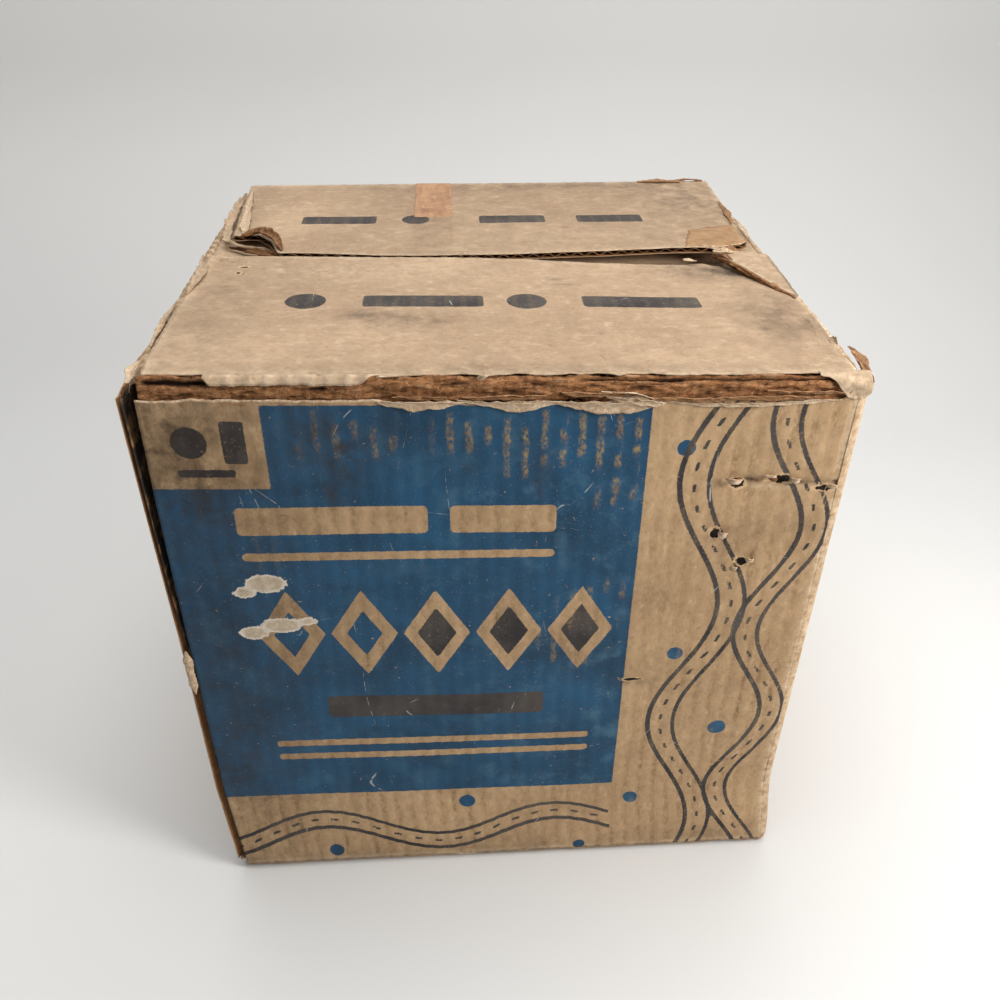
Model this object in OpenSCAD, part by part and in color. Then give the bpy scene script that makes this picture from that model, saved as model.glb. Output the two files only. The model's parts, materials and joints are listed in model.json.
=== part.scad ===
// Regular slotted carton of single-wall corrugated board, closed and standing on its bottom.
// Origin: centre of the bottom face. +X right, +Y back, +Z up. Millimetres.
// Every panel is three plies: an outer liner, a fluted medium and an inner liner.

/* [Carton] */
// Outside width, left to right
body_w = 300; // [240:1:420]
// Outside depth, front to back
body_d = 277; // [200:1:340]
// Outside height, bottom tape to top flaps
body_h = 301; // [220:1:420]

/* [Board] */
// Thickness of the printed outer liner
outer_liner_t = 0.35; // [0.25:0.05:0.6]
// Thickness of the inner liner
inner_liner_t = 0.3; // [0.2:0.05:0.6]
// Thickness of the paper that is fluted
medium_t = 0.25; // [0.15:0.05:0.35]
// Distance between the two liners
flute_h = 3.35; // [2.6:0.05:4.1]
// Distance from one flute's crest to the next
flute_pitch = 7.8; // [6:0.1:9.5]
// Line of glue between a crest and the liner
glue_gap = 0.04; // [0.02:0.01:0.08]

/* [Creases] */
// Outside radius of a folded crease
crease_r = 5; // [4.6:0.1:7]
// Bow of the split corner: gap between its two raw edges at the top
split_top = 3.4; // [1:0.1:6]
// Gap between the raw edges of the split corner at the bottom
split_bottom = 0.6; // [0.3:0.1:1]
// Left end of the long tear in the front top crease, from the carton's left side
crease_tear_from = 99; // [60:1:130]
// Right end of the long tear, from the carton's right side
crease_tear_end = 10; // [4:1:40]
// Right end of the short tear in the front top crease's left corner
crease_corner_tear = 31; // [20:1:50]

/* [Flaps] */
// Gap at the seam between two major flaps
seam_gap = 3.5; // [1:0.1:8]
// Inset of a major flap from the carton's side
flap_side_gap = 1.5; // [0.8:0.1:4]
// Inset of the front flap's worn left edge
front_flap_inset = 5; // [1.5:0.1:8]
// Gap between a minor flap's end and the wall beside it
minor_end_gap = 2; // [1.5:0.1:5]
// Air between a major flap and the minor flap under it
flap_stack_gap = 0.3; // [0.2:0.05:1]
// Width of the corner torn off the back flap, at the left of the seam
back_tear_w = 34; // [15:1:50]
// Depth of the corner torn off the back flap
back_tear_d = 26; // [12:1:40]
// Slant of the back flap's right side, at the seam
back_slant_w = 11; // [4:1:20]
// Width of the front flap's torn corner, along the seam
corner_w = 29; // [15:1:45]
// Depth of the front flap's torn corner, along the carton's right side
corner_d = 58; // [30:1:75]
// Width of the tear between the front flap and its torn corner
corner_gap = 0.8; // [0.4:0.1:2]

/* [Tape] */
// Thickness of the gummed paper tape
tape_t = 0.15; // [0.1:0.01:0.25]
// Width of the gummed paper tape along the bottom seam
tape_w = 76; // [50:1:100]
// Length of tape turned up each side wall
tape_tail = 55; // [30:1:80]
// Width of the old cellophane tape left on the back flap
old_tape_w = 22; // [12:1:26]
// Length of the old cellophane tape
old_tape_l = 68; // [30:1:90]
// Distance of the old tape's middle from the carton's left side
old_tape_at = 120; // [60:1:200]
// Thickness of the old cellophane tape
old_tape_t = 0.06; // [0.04:0.01:0.1]
// Height of the scrap of joint tape that is left on the split corner
scrap_h = 26; // [10:1:60]
// Height of the scrap's lower end above the carton's bottom
scrap_z = 132; // [60:1:180]

/* [Hidden] */
board_t = outer_liner_t + flute_h + inner_liner_t;
wave_a = (flute_h - medium_t) / 2 - glue_gap;
steps_per_flute = 8;
major_l = (body_d - seam_gap) / 2;
minor_top = body_h - board_t - flap_stack_gap;
major_floor = tape_t;
minor_floor = tape_t + board_t + flap_stack_gap;
tear_steps = 7;
tear_depth = 1.6;
$fn = 64;

kraft = [0.74, 0.60, 0.44];
inner_kraft = [0.62, 0.47, 0.32];
flute_kraft = [0.55, 0.38, 0.22];
tape_kraft = [0.66, 0.50, 0.33];
old_tape_amber = [0.62, 0.38, 0.20];

// The four walls, counter-clockwise from the front: turn about +Z, outside length, run of the wall at right angles
FRONT = 0;
RIGHT = 1;
BACK = 2;
LEFT = 3;

function wall_length(side) = side == FRONT || side == BACK ? body_w : body_d;
function wall_reach(side) = side == FRONT || side == BACK ? body_d : body_w;
function is_major(side) = side == FRONT || side == BACK;
function top_level(side) = is_major(side) ? body_h : minor_top;
function floor_level(side) = is_major(side) ? major_floor : minor_floor;

// Depths of the three plies from the outside face of the board
function outer_from() = 0;
function flutes_from() = outer_liner_t;
function inner_from() = outer_liner_t + flute_h;

// Centre line of the medium at distance u, and its slope
function wave(u) = wave_a * sin(360 * u / flute_pitch);
function wave_slope(u) = wave_a * 2 * PI / flute_pitch * cos(360 * u / flute_pitch);
// A point of the fluted sheet's face, offset along the wave's own normal
function wave_face(u, side) = let (s = wave_slope(u), n = sqrt(1 + s * s))
    [u - side * medium_t / 2 * s / n, wave(u) + side * medium_t / 2 / n];

// Section of a fluted sheet that is w wide, drawn on its middle line
module wave_section(w) {
    count = round(w / flute_pitch * steps_per_flute);
    lead = medium_t;
    us = [for (i = [0 : count]) lead + (w - 2 * lead) * i / count];
    polygon(concat([for (u = us) wave_face(u, 1)], [for (i = [count : -1 : 0]) wave_face(us[i], -1)]));
}

// A panel lies in XZ with its outer face at y = 0 and its depth along +Y.
// Its outline is a polygon of [along, up] points that keeps its corners counter-clockwise.
module liner(outline, from, thick) {
    translate([0, from + thick, 0])
        rotate([90, 0, 0])
            linear_extrude(height = thick) polygon(outline);
}

// The fluted sheet of a panel, from z0 to z1 and from x0 to x1, flutes standing along Z
module flutes(x0, x1, z0, z1) {
    translate([x0, flutes_from() + flute_h / 2, z0])
        linear_extrude(height = z1 - z0) wave_section(x1 - x0);
}

// Fluted sheet cut back to an outline
module flutes_in(outline, x0, x1, z0, z1) {
    intersection() {
        flutes(x0, x1, z0, z1);
        liner(outline, flutes_from(), flute_h);
    }
}

function rectangle(x0, x1, z0, z1) = [[x0, z0], [x1, z0], [x1, z1], [x0, z1]];

// Draws one ply of a plain rectangular panel
module board(ply, x0, x1, z0, z1) {
    if (ply == "outer_liner") color(kraft) liner(rectangle(x0, x1, z0, z1), outer_from(), outer_liner_t);
    if (ply == "flutes") color(flute_kraft) flutes(x0, x1, z0, z1);
    if (ply == "inner_liner") color(inner_kraft) liner(rectangle(x0, x1, z0, z1), inner_from(), inner_liner_t);
}

// Draws one ply of a panel with a cut or torn outline
module cut_board(ply, outline, x0, x1, z0, z1) {
    if (ply == "outer_liner") color(kraft) liner(outline, outer_from(), outer_liner_t);
    if (ply == "flutes") color(flute_kraft) flutes_in(outline, x0, x1, z0, z1);
    if (ply == "inner_liner") color(inner_kraft) liner(outline, inner_from(), inner_liner_t);
}

// Puts a panel on a wall: x along the wall, y into the carton, z up
module on_wall(side) {
    rotate([0, 0, 90 * side])
        translate([-wall_length(side) / 2, -wall_reach(side) / 2, 0]) children();
}

// Lays a panel down as a top flap: its z runs inwards from the crease
module as_top_flap(side) {
    on_wall(side) translate([0, 0, top_level(side)]) rotate([-90, 0, 0]) children();
}

// Lays a panel down as a bottom flap
module as_bottom_flap(side) {
    on_wall(side) translate([0, 0, floor_level(side)]) mirror([0, 0, 1]) rotate([-90, 0, 0]) children();
}

function wall_z0(side) = floor_level(side) + crease_r;
function wall_z1(side) = top_level(side) - crease_r;

// Wall panels. The front wall's left edge is raw and slants away from the split corner.
module front_wall(ply) {
    x0 = board_t;
    x1 = body_w - crease_r;
    z0 = wall_z0(FRONT);
    z1 = wall_z1(FRONT);
    on_wall(FRONT)
        cut_board(ply, [[x0 + split_bottom, z0], [x1, z0], [x1, z1], [x0 + split_top, z1]], x0, x1, z0, z1);
}

module right_wall(ply) {
    on_wall(RIGHT) board(ply, crease_r, body_d - crease_r, wall_z0(RIGHT), wall_z1(RIGHT));
}

module back_wall(ply) {
    on_wall(BACK) board(ply, crease_r, body_w - crease_r, wall_z0(BACK), wall_z1(BACK));
}

// The left wall runs through to the carton's front face, where its raw edge shows
module left_wall(ply) {
    on_wall(LEFT) board(ply, crease_r, body_d - tape_t, wall_z0(LEFT), wall_z1(LEFT));
}

// Top flaps. Major flaps close over the minor ones and meet at the seam.
module front_top_flap(ply) {
    x0 = front_flap_inset;
    x1 = body_w - flap_side_gap;
    tear_x = x1 - corner_w;
    tear_z = major_l - corner_d;
    as_top_flap(FRONT)
        cut_board(ply, [[x0, crease_r], [x1, crease_r], [x1, tear_z], [tear_x, major_l], [x0, major_l]],
            x0, x1, crease_r, major_l);
}

// The corner that is torn off the front flap and lies beside it
module front_flap_torn_corner() {
    x1 = body_w - flap_side_gap;
    slant = sqrt(corner_w * corner_w + corner_d * corner_d);
    shift_x = corner_gap * slant / corner_d;
    shift_z = corner_gap * slant / corner_w;
    outline = [[x1, major_l - corner_d + shift_z], [x1, major_l], [x1 - corner_w + shift_x, major_l]];
    as_top_flap(FRONT)
        for (ply = ["outer_liner", "flutes", "inner_liner"])
            cut_board(ply, outline, x1 - corner_w, x1, major_l - corner_d, major_l);
}

module back_top_flap(ply) {
    x0 = flap_side_gap;
    x1 = body_w - flap_side_gap;
    as_top_flap(BACK)
        cut_board(ply, [[x0, crease_r], [x1, crease_r], [x1, major_l - back_tear_d],
            [x1 - back_tear_w, major_l], [x0 + back_slant_w, major_l]], x0, x1, crease_r, major_l);
}

module left_top_flap(ply) {
    as_top_flap(LEFT)
        board(ply, board_t + minor_end_gap, body_d - board_t - minor_end_gap, crease_r, major_l);
}

module right_top_flap(ply) {
    as_top_flap(RIGHT)
        board(ply, board_t + minor_end_gap, body_d - board_t - minor_end_gap, crease_r, major_l);
}

// Bottom flaps, sealed shut by the gummed tape
module major_bottom_flap(side, ply) {
    as_bottom_flap(side)
        board(ply, flap_side_gap, body_w - flap_side_gap, crease_r, major_l);
}

module minor_bottom_flap(side, ply) {
    as_bottom_flap(side)
        board(ply, board_t + minor_end_gap, body_d - board_t - minor_end_gap, crease_r, major_l);
}

// Quarter ring of board about the origin, from -X round to -Z when it is laid along X
module crease_arc(length, r, thick) {
    rotate([90, 0, 90])
        linear_extrude(height = length)
            intersection() {
                difference() {
                    circle(r = r);
                    circle(r = r - thick);
                }
                translate([-r, 0]) square([r, r]);
            }
}

// The outer and the inner liner folded over the edge of a wall, from x0 to x1 along it
module folded_liner(x0, x1, r, thick) {
    translate([x0, crease_r, -crease_r]) crease_arc(x1 - x0, r, thick);
}

module top_crease(side, x0, x1) {
    inner_r = crease_r - inner_from();
    color(kraft)
        on_wall(side) translate([0, 0, top_level(side)]) {
            folded_liner(x0, x1, crease_r, outer_liner_t);
            folded_liner(x0, x1, inner_r, inner_liner_t);
        }
}

// The front top crease: its outer liner has worn away over the long tear and at the left corner
module front_top_crease() {
    x1 = body_w - flap_side_gap;
    inner_r = crease_r - inner_from();
    on_wall(FRONT) translate([0, 0, body_h]) {
        color(kraft) {
            folded_liner(crease_corner_tear, crease_tear_from, crease_r, outer_liner_t);
            folded_liner(body_w - crease_tear_end, x1, crease_r, outer_liner_t);
        }
        color(inner_kraft) folded_liner(board_t + split_top, x1, inner_r, inner_liner_t);
    }
}

module back_top_crease() {
    top_crease(BACK, flap_side_gap, body_w - flap_side_gap);
}

module minor_top_crease(side) {
    top_crease(side, board_t + minor_end_gap, body_d - board_t - minor_end_gap);
}

module bottom_crease(side) {
    inner_r = crease_r - inner_from();
    x0 = is_major(side) ? board_t + split_bottom : board_t + minor_end_gap;
    x1 = is_major(side) ? body_w - board_t - split_bottom : body_d - board_t - minor_end_gap;
    color(kraft)
        on_wall(side) translate([0, 0, floor_level(side)]) mirror([0, 0, 1]) {
            folded_liner(x0, x1, crease_r, outer_liner_t);
            folded_liner(x0, x1, inner_r, inner_liner_t);
        }
}

// Upright crease at the left end of a wall: the three plies pressed together round a quarter turn
module corner_crease(side) {
    z0 = minor_floor + crease_r;
    z1 = minor_top - crease_r;
    color(kraft)
        on_wall(side)
            translate([crease_r, crease_r, z0])
                linear_extrude(height = z1 - z0)
                    intersection() {
                        difference() {
                            circle(r = crease_r);
                            circle(r = crease_r - board_t);
                        }
                        translate([-crease_r, -crease_r]) square(crease_r);
                    }
}

// Gummed paper tape over the bottom seam, turned up both side walls
module bottom_tape() {
    color(tape_kraft)
        translate([-body_w / 2 + crease_r, -tape_w / 2, 0]) cube([body_w - 2 * crease_r, tape_w, tape_t]);
}

module tape_tail_on(side) {
    color(tape_kraft)
        on_wall(side)
            translate([(body_d - tape_w) / 2, -tape_t, wall_z0(side)]) cube([tape_w, tape_t, tape_tail]);
}

// Old cellophane tape left on the back flap, ending in a ragged tear
module old_tape() {
    teeth = [for (i = [0 : tear_steps])
        [old_tape_w * (1 - i / tear_steps), old_tape_l - (i % 2) * tear_depth]];
    color(old_tape_amber)
        translate([old_tape_at - body_w / 2 - old_tape_w / 2, body_d / 2 - crease_r, body_h])
            mirror([0, 1, 0])
                linear_extrude(height = old_tape_t) polygon(concat([[0, 0], [old_tape_w, 0]], teeth));
}

// Scrap of the corner's joint tape, stuck to the left wall's raw front edge
module joint_tape_scrap() {
    edge = inner_from();
    teeth = [for (i = [0 : tear_steps]) [edge - (i % 2) * tear_depth / 2, scrap_h * i / tear_steps]];
    color(kraft)
        translate([-body_w / 2, -body_d / 2 + tape_t, scrap_z])
            rotate([90, 0, 0])
                linear_extrude(height = tape_t) polygon(concat([[0, scrap_h], [0, 0]], teeth));
}

front_wall("outer_liner");  // front_wall_outer_liner
front_wall("flutes");  // front_wall_flutes
front_wall("inner_liner");  // front_wall_inner_liner
right_wall("outer_liner");  // right_wall_outer_liner
right_wall("flutes");  // right_wall_flutes
right_wall("inner_liner");  // right_wall_inner_liner
back_wall("outer_liner");  // back_wall_outer_liner
back_wall("flutes");  // back_wall_flutes
back_wall("inner_liner");  // back_wall_inner_liner
left_wall("outer_liner");  // left_wall_outer_liner
left_wall("flutes");  // left_wall_flutes
left_wall("inner_liner");  // left_wall_inner_liner
front_top_flap("outer_liner");  // front_top_flap_outer_liner
front_top_flap("flutes");  // front_top_flap_flutes
front_top_flap("inner_liner");  // front_top_flap_inner_liner
back_top_flap("outer_liner");  // back_top_flap_outer_liner
back_top_flap("flutes");  // back_top_flap_flutes
back_top_flap("inner_liner");  // back_top_flap_inner_liner
left_top_flap("outer_liner");  // left_top_flap_outer_liner
left_top_flap("flutes");  // left_top_flap_flutes
left_top_flap("inner_liner");  // left_top_flap_inner_liner
right_top_flap("outer_liner");  // right_top_flap_outer_liner
right_top_flap("flutes");  // right_top_flap_flutes
right_top_flap("inner_liner");  // right_top_flap_inner_liner
major_bottom_flap(FRONT, "outer_liner");  // front_bottom_flap_outer_liner
major_bottom_flap(FRONT, "flutes");  // front_bottom_flap_flutes
major_bottom_flap(FRONT, "inner_liner");  // front_bottom_flap_inner_liner
major_bottom_flap(BACK, "outer_liner");  // back_bottom_flap_outer_liner
major_bottom_flap(BACK, "flutes");  // back_bottom_flap_flutes
major_bottom_flap(BACK, "inner_liner");  // back_bottom_flap_inner_liner
minor_bottom_flap(LEFT, "outer_liner");  // left_bottom_flap_outer_liner
minor_bottom_flap(LEFT, "flutes");  // left_bottom_flap_flutes
minor_bottom_flap(LEFT, "inner_liner");  // left_bottom_flap_inner_liner
minor_bottom_flap(RIGHT, "outer_liner");  // right_bottom_flap_outer_liner
minor_bottom_flap(RIGHT, "flutes");  // right_bottom_flap_flutes
minor_bottom_flap(RIGHT, "inner_liner");  // right_bottom_flap_inner_liner
front_flap_torn_corner();
front_top_crease();
back_top_crease();
minor_top_crease(LEFT);  // left_top_crease
minor_top_crease(RIGHT);  // right_top_crease
bottom_crease(FRONT);  // front_bottom_crease
bottom_crease(BACK);  // back_bottom_crease
bottom_crease(LEFT);  // left_bottom_crease
bottom_crease(RIGHT);  // right_bottom_crease
corner_crease(RIGHT);  // front_right_corner_crease
corner_crease(BACK);  // back_right_corner_crease
corner_crease(LEFT);  // back_left_corner_crease
bottom_tape();
tape_tail_on(RIGHT);  // right_tape_tail
tape_tail_on(LEFT);  // left_tape_tail
old_tape();
joint_tape_scrap();
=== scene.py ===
import json
import bpy
import numpy as np
from mathutils import Matrix, Vector


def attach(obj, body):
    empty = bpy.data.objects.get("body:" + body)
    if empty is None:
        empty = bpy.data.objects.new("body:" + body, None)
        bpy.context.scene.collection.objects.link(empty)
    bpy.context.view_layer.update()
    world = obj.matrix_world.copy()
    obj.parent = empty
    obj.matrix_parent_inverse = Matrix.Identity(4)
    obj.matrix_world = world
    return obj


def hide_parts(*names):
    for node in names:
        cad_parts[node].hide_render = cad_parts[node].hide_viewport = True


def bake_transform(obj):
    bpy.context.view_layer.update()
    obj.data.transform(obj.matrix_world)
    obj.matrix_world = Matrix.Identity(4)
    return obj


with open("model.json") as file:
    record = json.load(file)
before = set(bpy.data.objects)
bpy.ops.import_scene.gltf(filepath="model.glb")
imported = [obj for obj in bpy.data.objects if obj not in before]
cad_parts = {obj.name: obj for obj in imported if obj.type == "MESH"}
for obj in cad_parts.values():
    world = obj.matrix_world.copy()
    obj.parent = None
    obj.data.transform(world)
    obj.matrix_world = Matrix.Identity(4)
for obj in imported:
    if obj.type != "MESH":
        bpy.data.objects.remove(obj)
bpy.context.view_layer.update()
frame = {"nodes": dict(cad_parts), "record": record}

# Sizes of the carton in millimetres, as the frame has them. Meshes are scaled to metres when they are made.
carton = {
    "width": 300.0, "depth": 277.0, "height": 301.0,
    "board": 4.0, "outerLiner": 0.35, "medium": 0.25, "innerLiner": 0.3,
    "flutePitch": 7.8, "fluteSwing": 1.51,
    "crease": 5.0, "stackGap": 0.3, "tape": 0.15,
    "twist": 3.4,  # how far the front top corners stand up and down
    "pushedLeft": 2.8, "pushedRight": 2.9,  # how far the side creases are pushed up
    "footFrom": 56.0, "footOut": 6.3, "footTurn": 1.1, "footRight": 3.4,  # the slide of the foot, below footFrom
}
halfWide, halfDeep, tall = carton["width"] / 2, carton["depth"] / 2, carton["height"]
bend, pitch = carton["crease"], carton["flutePitch"]
quarter = bend * np.pi / 2  # the way round a crease, on its outer face
minorTop = tall - carton["board"] - carton["stackGap"]
minorFloor = carton["tape"] + carton["board"] + carton["stackGap"]

# Camera
view = {
    "place": (-0.02172, -0.46990, 0.46910),
    "turn": 3.323, "down": 34.308, "roll": 0.336,  # degrees
    "lens": 33.58, "sensor": 36,  # mm
}


def makeCamera():
    turn, down, roll = (np.radians(view[k]) for k in ("turn", "down", "roll"))
    forward = Vector((np.sin(turn) * np.cos(down), np.cos(turn) * np.cos(down), -np.sin(down)))
    right = Vector((np.cos(turn), -np.sin(turn), 0))
    up = right.cross(forward)
    right, up = np.cos(roll) * right + np.sin(roll) * up, -np.sin(roll) * right + np.cos(roll) * up
    lens = bpy.data.cameras.new("camera")
    lens.lens, lens.sensor_width, lens.clip_start = view["lens"], view["sensor"], 0.01
    camera = bpy.data.objects.new("camera", lens)
    bpy.context.collection.objects.link(camera)
    rows = Matrix((right, up, -forward)).transposed().to_4x4()
    camera.matrix_world = Matrix.Translation(view["place"]) @ rows
    bpy.context.scene.camera = camera


makeCamera()
print("camera set")

# Light and floor
studio = {
    "overhead": {"place": (-0.10, 0.12, 1.50), "aim": (0, 0, 0.2), "size": 1.2, "watts": 14.5,
                 "tint": (1.0, 0.995, 0.985)},
    "sideFill": {"place": (0.58, -0.42, 0.56), "aim": (0.02, -0.13, 0.2), "size": 0.32, "watts": 5.2,
                 "tint": (1.0, 0.965, 0.92)},
    "world": 0.28,
    "paper": 0.73, "backdropAt": 0.62, "sweep": 0.30,
}


def makeLight(name):
    look = studio[name]
    lamp = bpy.data.lights.new(name, "AREA")
    lamp.shape, lamp.size, lamp.energy, lamp.color = "DISK", look["size"], look["watts"], look["tint"]
    lampObject = bpy.data.objects.new(name, lamp)
    bpy.context.collection.objects.link(lampObject)
    lampObject.location = look["place"]
    lampObject.rotation_euler = (Vector(look["aim"]) - Vector(look["place"])).to_track_quat("-Z", "Y").to_euler()


# Materials are written as sums and products of signals. A signal is an output in the node tree that is being built.
current = {"tree": None, "where": None, "surface": None}


class Signal:
    def __init__(self, socket):
        self.socket = socket

    def __add__(self, other):
        return maths("ADD", self, other)

    def __sub__(self, other):
        return maths("SUBTRACT", self, other)

    def __rsub__(self, other):
        return maths("SUBTRACT", other, self)

    def __mul__(self, other):
        return maths("MULTIPLY", self, other)


def fill(node, values):
    for key, given in values.items():
        if isinstance(given, Signal):
            current["tree"].links.new(given.socket, node.inputs[key])
        else:
            node.inputs[key].default_value = given


def put(kind, values, **settings):
    node = current["tree"].nodes.new("ShaderNode" + kind)
    for key, setting in settings.items():
        setattr(node, key, setting)
    fill(node, values)
    return node


def maths(operation, *terms):
    return Signal(put("Math", dict(enumerate(terms)), operation=operation).outputs[0])


def mix(share, first, second):
    return Signal(put("Mix", {0: share, 6: first, 7: second}, data_type="RGBA").outputs[2])


def layered(colour, *layers):  # each layer is a share and the colour that goes over the ones before it
    for share, over in layers:
        colour = mix(share, colour, over)
    return colour


def remap(signal, low, high, toLow=0.0, toHigh=1.0):
    return Signal(put("MapRange", {0: signal, 1: low, 2: high, 3: toLow, 4: toHigh}).outputs[0])


def stretched(stretch, shift=(0, 0, 0)):  # the place in the pattern, stretched along the axes and moved elsewhere
    values = {0: current["where"], 1: stretch, 2: shift}
    return Signal(put("VectorMath", values, operation="MULTIPLY_ADD").outputs[0])


def noise(scale, detail=3.0, rough=0.5, bent=0.0, at=None):
    return Signal(put("TexNoise", {"Vector": at or current["where"], "Scale": scale, "Detail": detail,
                                   "Roughness": rough, "Distortion": bent}).outputs[0])


def patches(low, high, *grain, at=None, to=(0.0, 1.0)):  # the part of a noise between low and high, spread out
    return remap(noise(*grain, at=at), low, high, *to)


def perPoint(name):  # a number that numpy worked out at each point of the mesh, 0 where it has none
    return Signal(put("Attribute", {}, attribute_name=name).outputs["Fac"])


def paint(red, green, blue):  # an sRGB colour, 0 to 255 each, as linear numbers
    share = np.array([red, green, blue]) / 255
    linear = np.where(share <= 0.04045, share / 12.92, ((share + 0.055) / 1.055) ** 2.4)
    return (*[float(v) for v in linear], 1.0)


def startGroup(name, **inputs):
    tree = current["tree"] = bpy.data.node_groups.new(name, "ShaderNodeTree")
    for socket, kind in inputs.items():
        tree.interface.new_socket(socket, in_out="INPUT", socket_type="NodeSocket" + kind)
    outputs = tree.nodes.new("NodeGroupInput").outputs
    current["where"] = Signal(outputs["Vector"])
    return [Signal(outputs[socket]) for socket in inputs]


def endGroup(**results):
    tree = current["tree"]
    for name in results:
        kind = "Color" if name == "Color" else "Float"
        tree.interface.new_socket(name, in_out="OUTPUT", socket_type="NodeSocket" + kind)
    fill(tree.nodes.new("NodeGroupOutput"), results)
    return tree


def useGroup(group, **values):
    node = current["tree"].nodes.new("ShaderNodeGroup")
    node.node_tree = group
    fill(node, values)
    return {socket.name: Signal(socket) for socket in node.outputs}


def startMaterial(name):
    material = bpy.data.materials.new(name)
    material.use_nodes = True
    tree = current["tree"] = material.node_tree
    tree.nodes.clear()
    surface = current["surface"] = tree.nodes.new("ShaderNodeBsdfPrincipled")
    out = tree.nodes.new("ShaderNodeOutputMaterial")
    tree.links.new(surface.outputs[0], out.inputs[0])
    current["where"] = Signal(tree.nodes.new("ShaderNodeTexCoord").outputs["Object"])
    return material


def giveSurface(colour, rough, height, distance, strength, specular=0.5):
    bump = put("Bump", {"Height": height, "Distance": distance, "Strength": strength})
    fill(current["surface"], {"Base Color": colour, "Roughness": rough, "Specular IOR Level": specular,
                              "Normal": Signal(bump.outputs[0])})


# Paper: cloudy tint, long fibres along one direction, specks, and a height for the bump
def makePaperGroup():
    _, stretch, tint, dirt, pale, clouds, fibres = startGroup(
        "paperGrain", Vector="Vector", Stretch="Vector", Tint="Color", Dirt="Color", Pale="Color", Cloud="Float",
        Fibre="Float")
    cloud = patches(0.38, 0.72, 14, 5, 0.6, 0.4)
    mottle = patches(0.42, 0.75, 75, 4, 0.65)
    along = stretched(stretch)
    fibre = noise(900, 4, 0.7, 0.3, at=along)
    fleck = patches(0.46, 0.68, 330, 4, 0.65, at=along)
    glint = patches(0.54, 0.72, 210, 4, 0.65, 0.4, at=along)
    light = remap(fibre, 0.52, 0.78, 0.0, 0.75)
    dark = patches(0.30, 0.48, 170, 4, 0.6, 0.5, at=along, to=(0.32, 0.0))
    speck = patches(0.66, 0.76, 620, 2, 0.5)
    colour = layered(tint, (cloud * clouds, dirt), (mottle * clouds * 0.55, dirt), (fleck * 0.34, dirt),
                     (glint * 0.42, pale), (light * fibres, pale), (dark * fibres, dirt), (speck * 0.45, dirt))
    return endGroup(Color=colour, Height=fibre * 0.7 + mottle * 0.5)


# Hair scratches: the narrow places where a soft noise crosses its middle value, in patches
def makeScratchGroup():
    _, amount = startGroup("hairScratches", Vector="Vector", Amount="Float")
    lines = [remap(maths("ABSOLUTE", noise(scale, 1, 0.3, 0.2, at=stretched(turn)) - 0.5), 0.0, 0.0022, 1.0, 0.0)
             for scale, turn in ((9, (1.0, 3.1, 1.9)), (12, (2.6, 0.8, 0.7)))]
    thin = maths("MAXIMUM", *lines)
    return endGroup(Mask=(thin * patches(0.56, 0.62, 40, 2, 0.5)) * (patches(0.44, 0.56, 260, 2, 0.5) * amount))


# Rubbed flutes: speckled wear that sits on the crests of the flutes, only where the rub value is high
def makeRubGroup():
    _, crest, rub = startGroup("rubbedFlutes", Vector="Vector", Crest="Float", Rub="Float")
    raised = remap(crest + uneven(1.8, 240), 0.1, 0.75)
    grit = patches(0.40, 0.60, 800, 4, 0.75, at=stretched((1.0, 1.0, 0.6)))
    return endGroup(Mask=maths("MINIMUM", raised * rub * grit, 1.0))


def uneven(amount, *grain):  # noise about zero, to make an edge ragged
    return (noise(*grain) - 0.5) * amount


paperGroup, scratchGroup, rubGroup = makePaperGroup(), makeScratchGroup(), makeRubGroup()

# Paper and board finishes
kraftLooks = {
    "top": {"Tint": paint(188, 161, 132), "Dirt": paint(142, 116, 92), "Pale": paint(214, 192, 164), "Cloud": 0.6,
            "Fibre": 0.6, "Stretch": (0.65, 1.0, 1.0), "streaks": 0.06, "soil": paint(84, 72, 60)},
    "wall": {"Tint": paint(187, 156, 120), "Dirt": paint(126, 98, 68), "Pale": paint(212, 184, 146), "Cloud": 0.4,
             "Fibre": 0.5, "Stretch": (1.0, 1.0, 0.6), "streaks": 0.95},
    "side": {"Tint": paint(180, 146, 108), "Dirt": paint(122, 94, 66), "Pale": paint(205, 172, 133), "Cloud": 0.55,
             "Fibre": 0.5, "Stretch": (1.0, 1.0, 0.6), "streaks": 0.45},
    "inside": {"Tint": paint(170, 134, 96), "Dirt": paint(140, 106, 72), "Pale": paint(190, 156, 118), "Cloud": 0.35,
               "Fibre": 0.5, "Stretch": (1.0, 1.0, 0.25), "streaks": 0.30},
    "medium": {"Tint": paint(138, 98, 62), "Dirt": paint(92, 58, 32), "Pale": paint(168, 128, 88), "Cloud": 0.6,
               "Fibre": 0.7, "Stretch": (1.0, 1.0, 1.0), "streaks": 0.0},
}
inks = {
    "blue": paint(33, 84, 118), "blueDeep": paint(24, 62, 88), "blueFaded": paint(78, 116, 138),
    "dark": paint(44, 42, 44), "darkFaded": paint(104, 96, 88),
    "rubbed": paint(158, 136, 92), "chalk": paint(190, 192, 188), "grime": paint(52, 44, 36),
}
paperInputs = ("Tint", "Dirt", "Pale", "Cloud", "Fibre", "Stretch")
pastEdge = 3.0  # mm that the peel and bare values hold over the distance inside the patch, so that 0 is far outside


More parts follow.
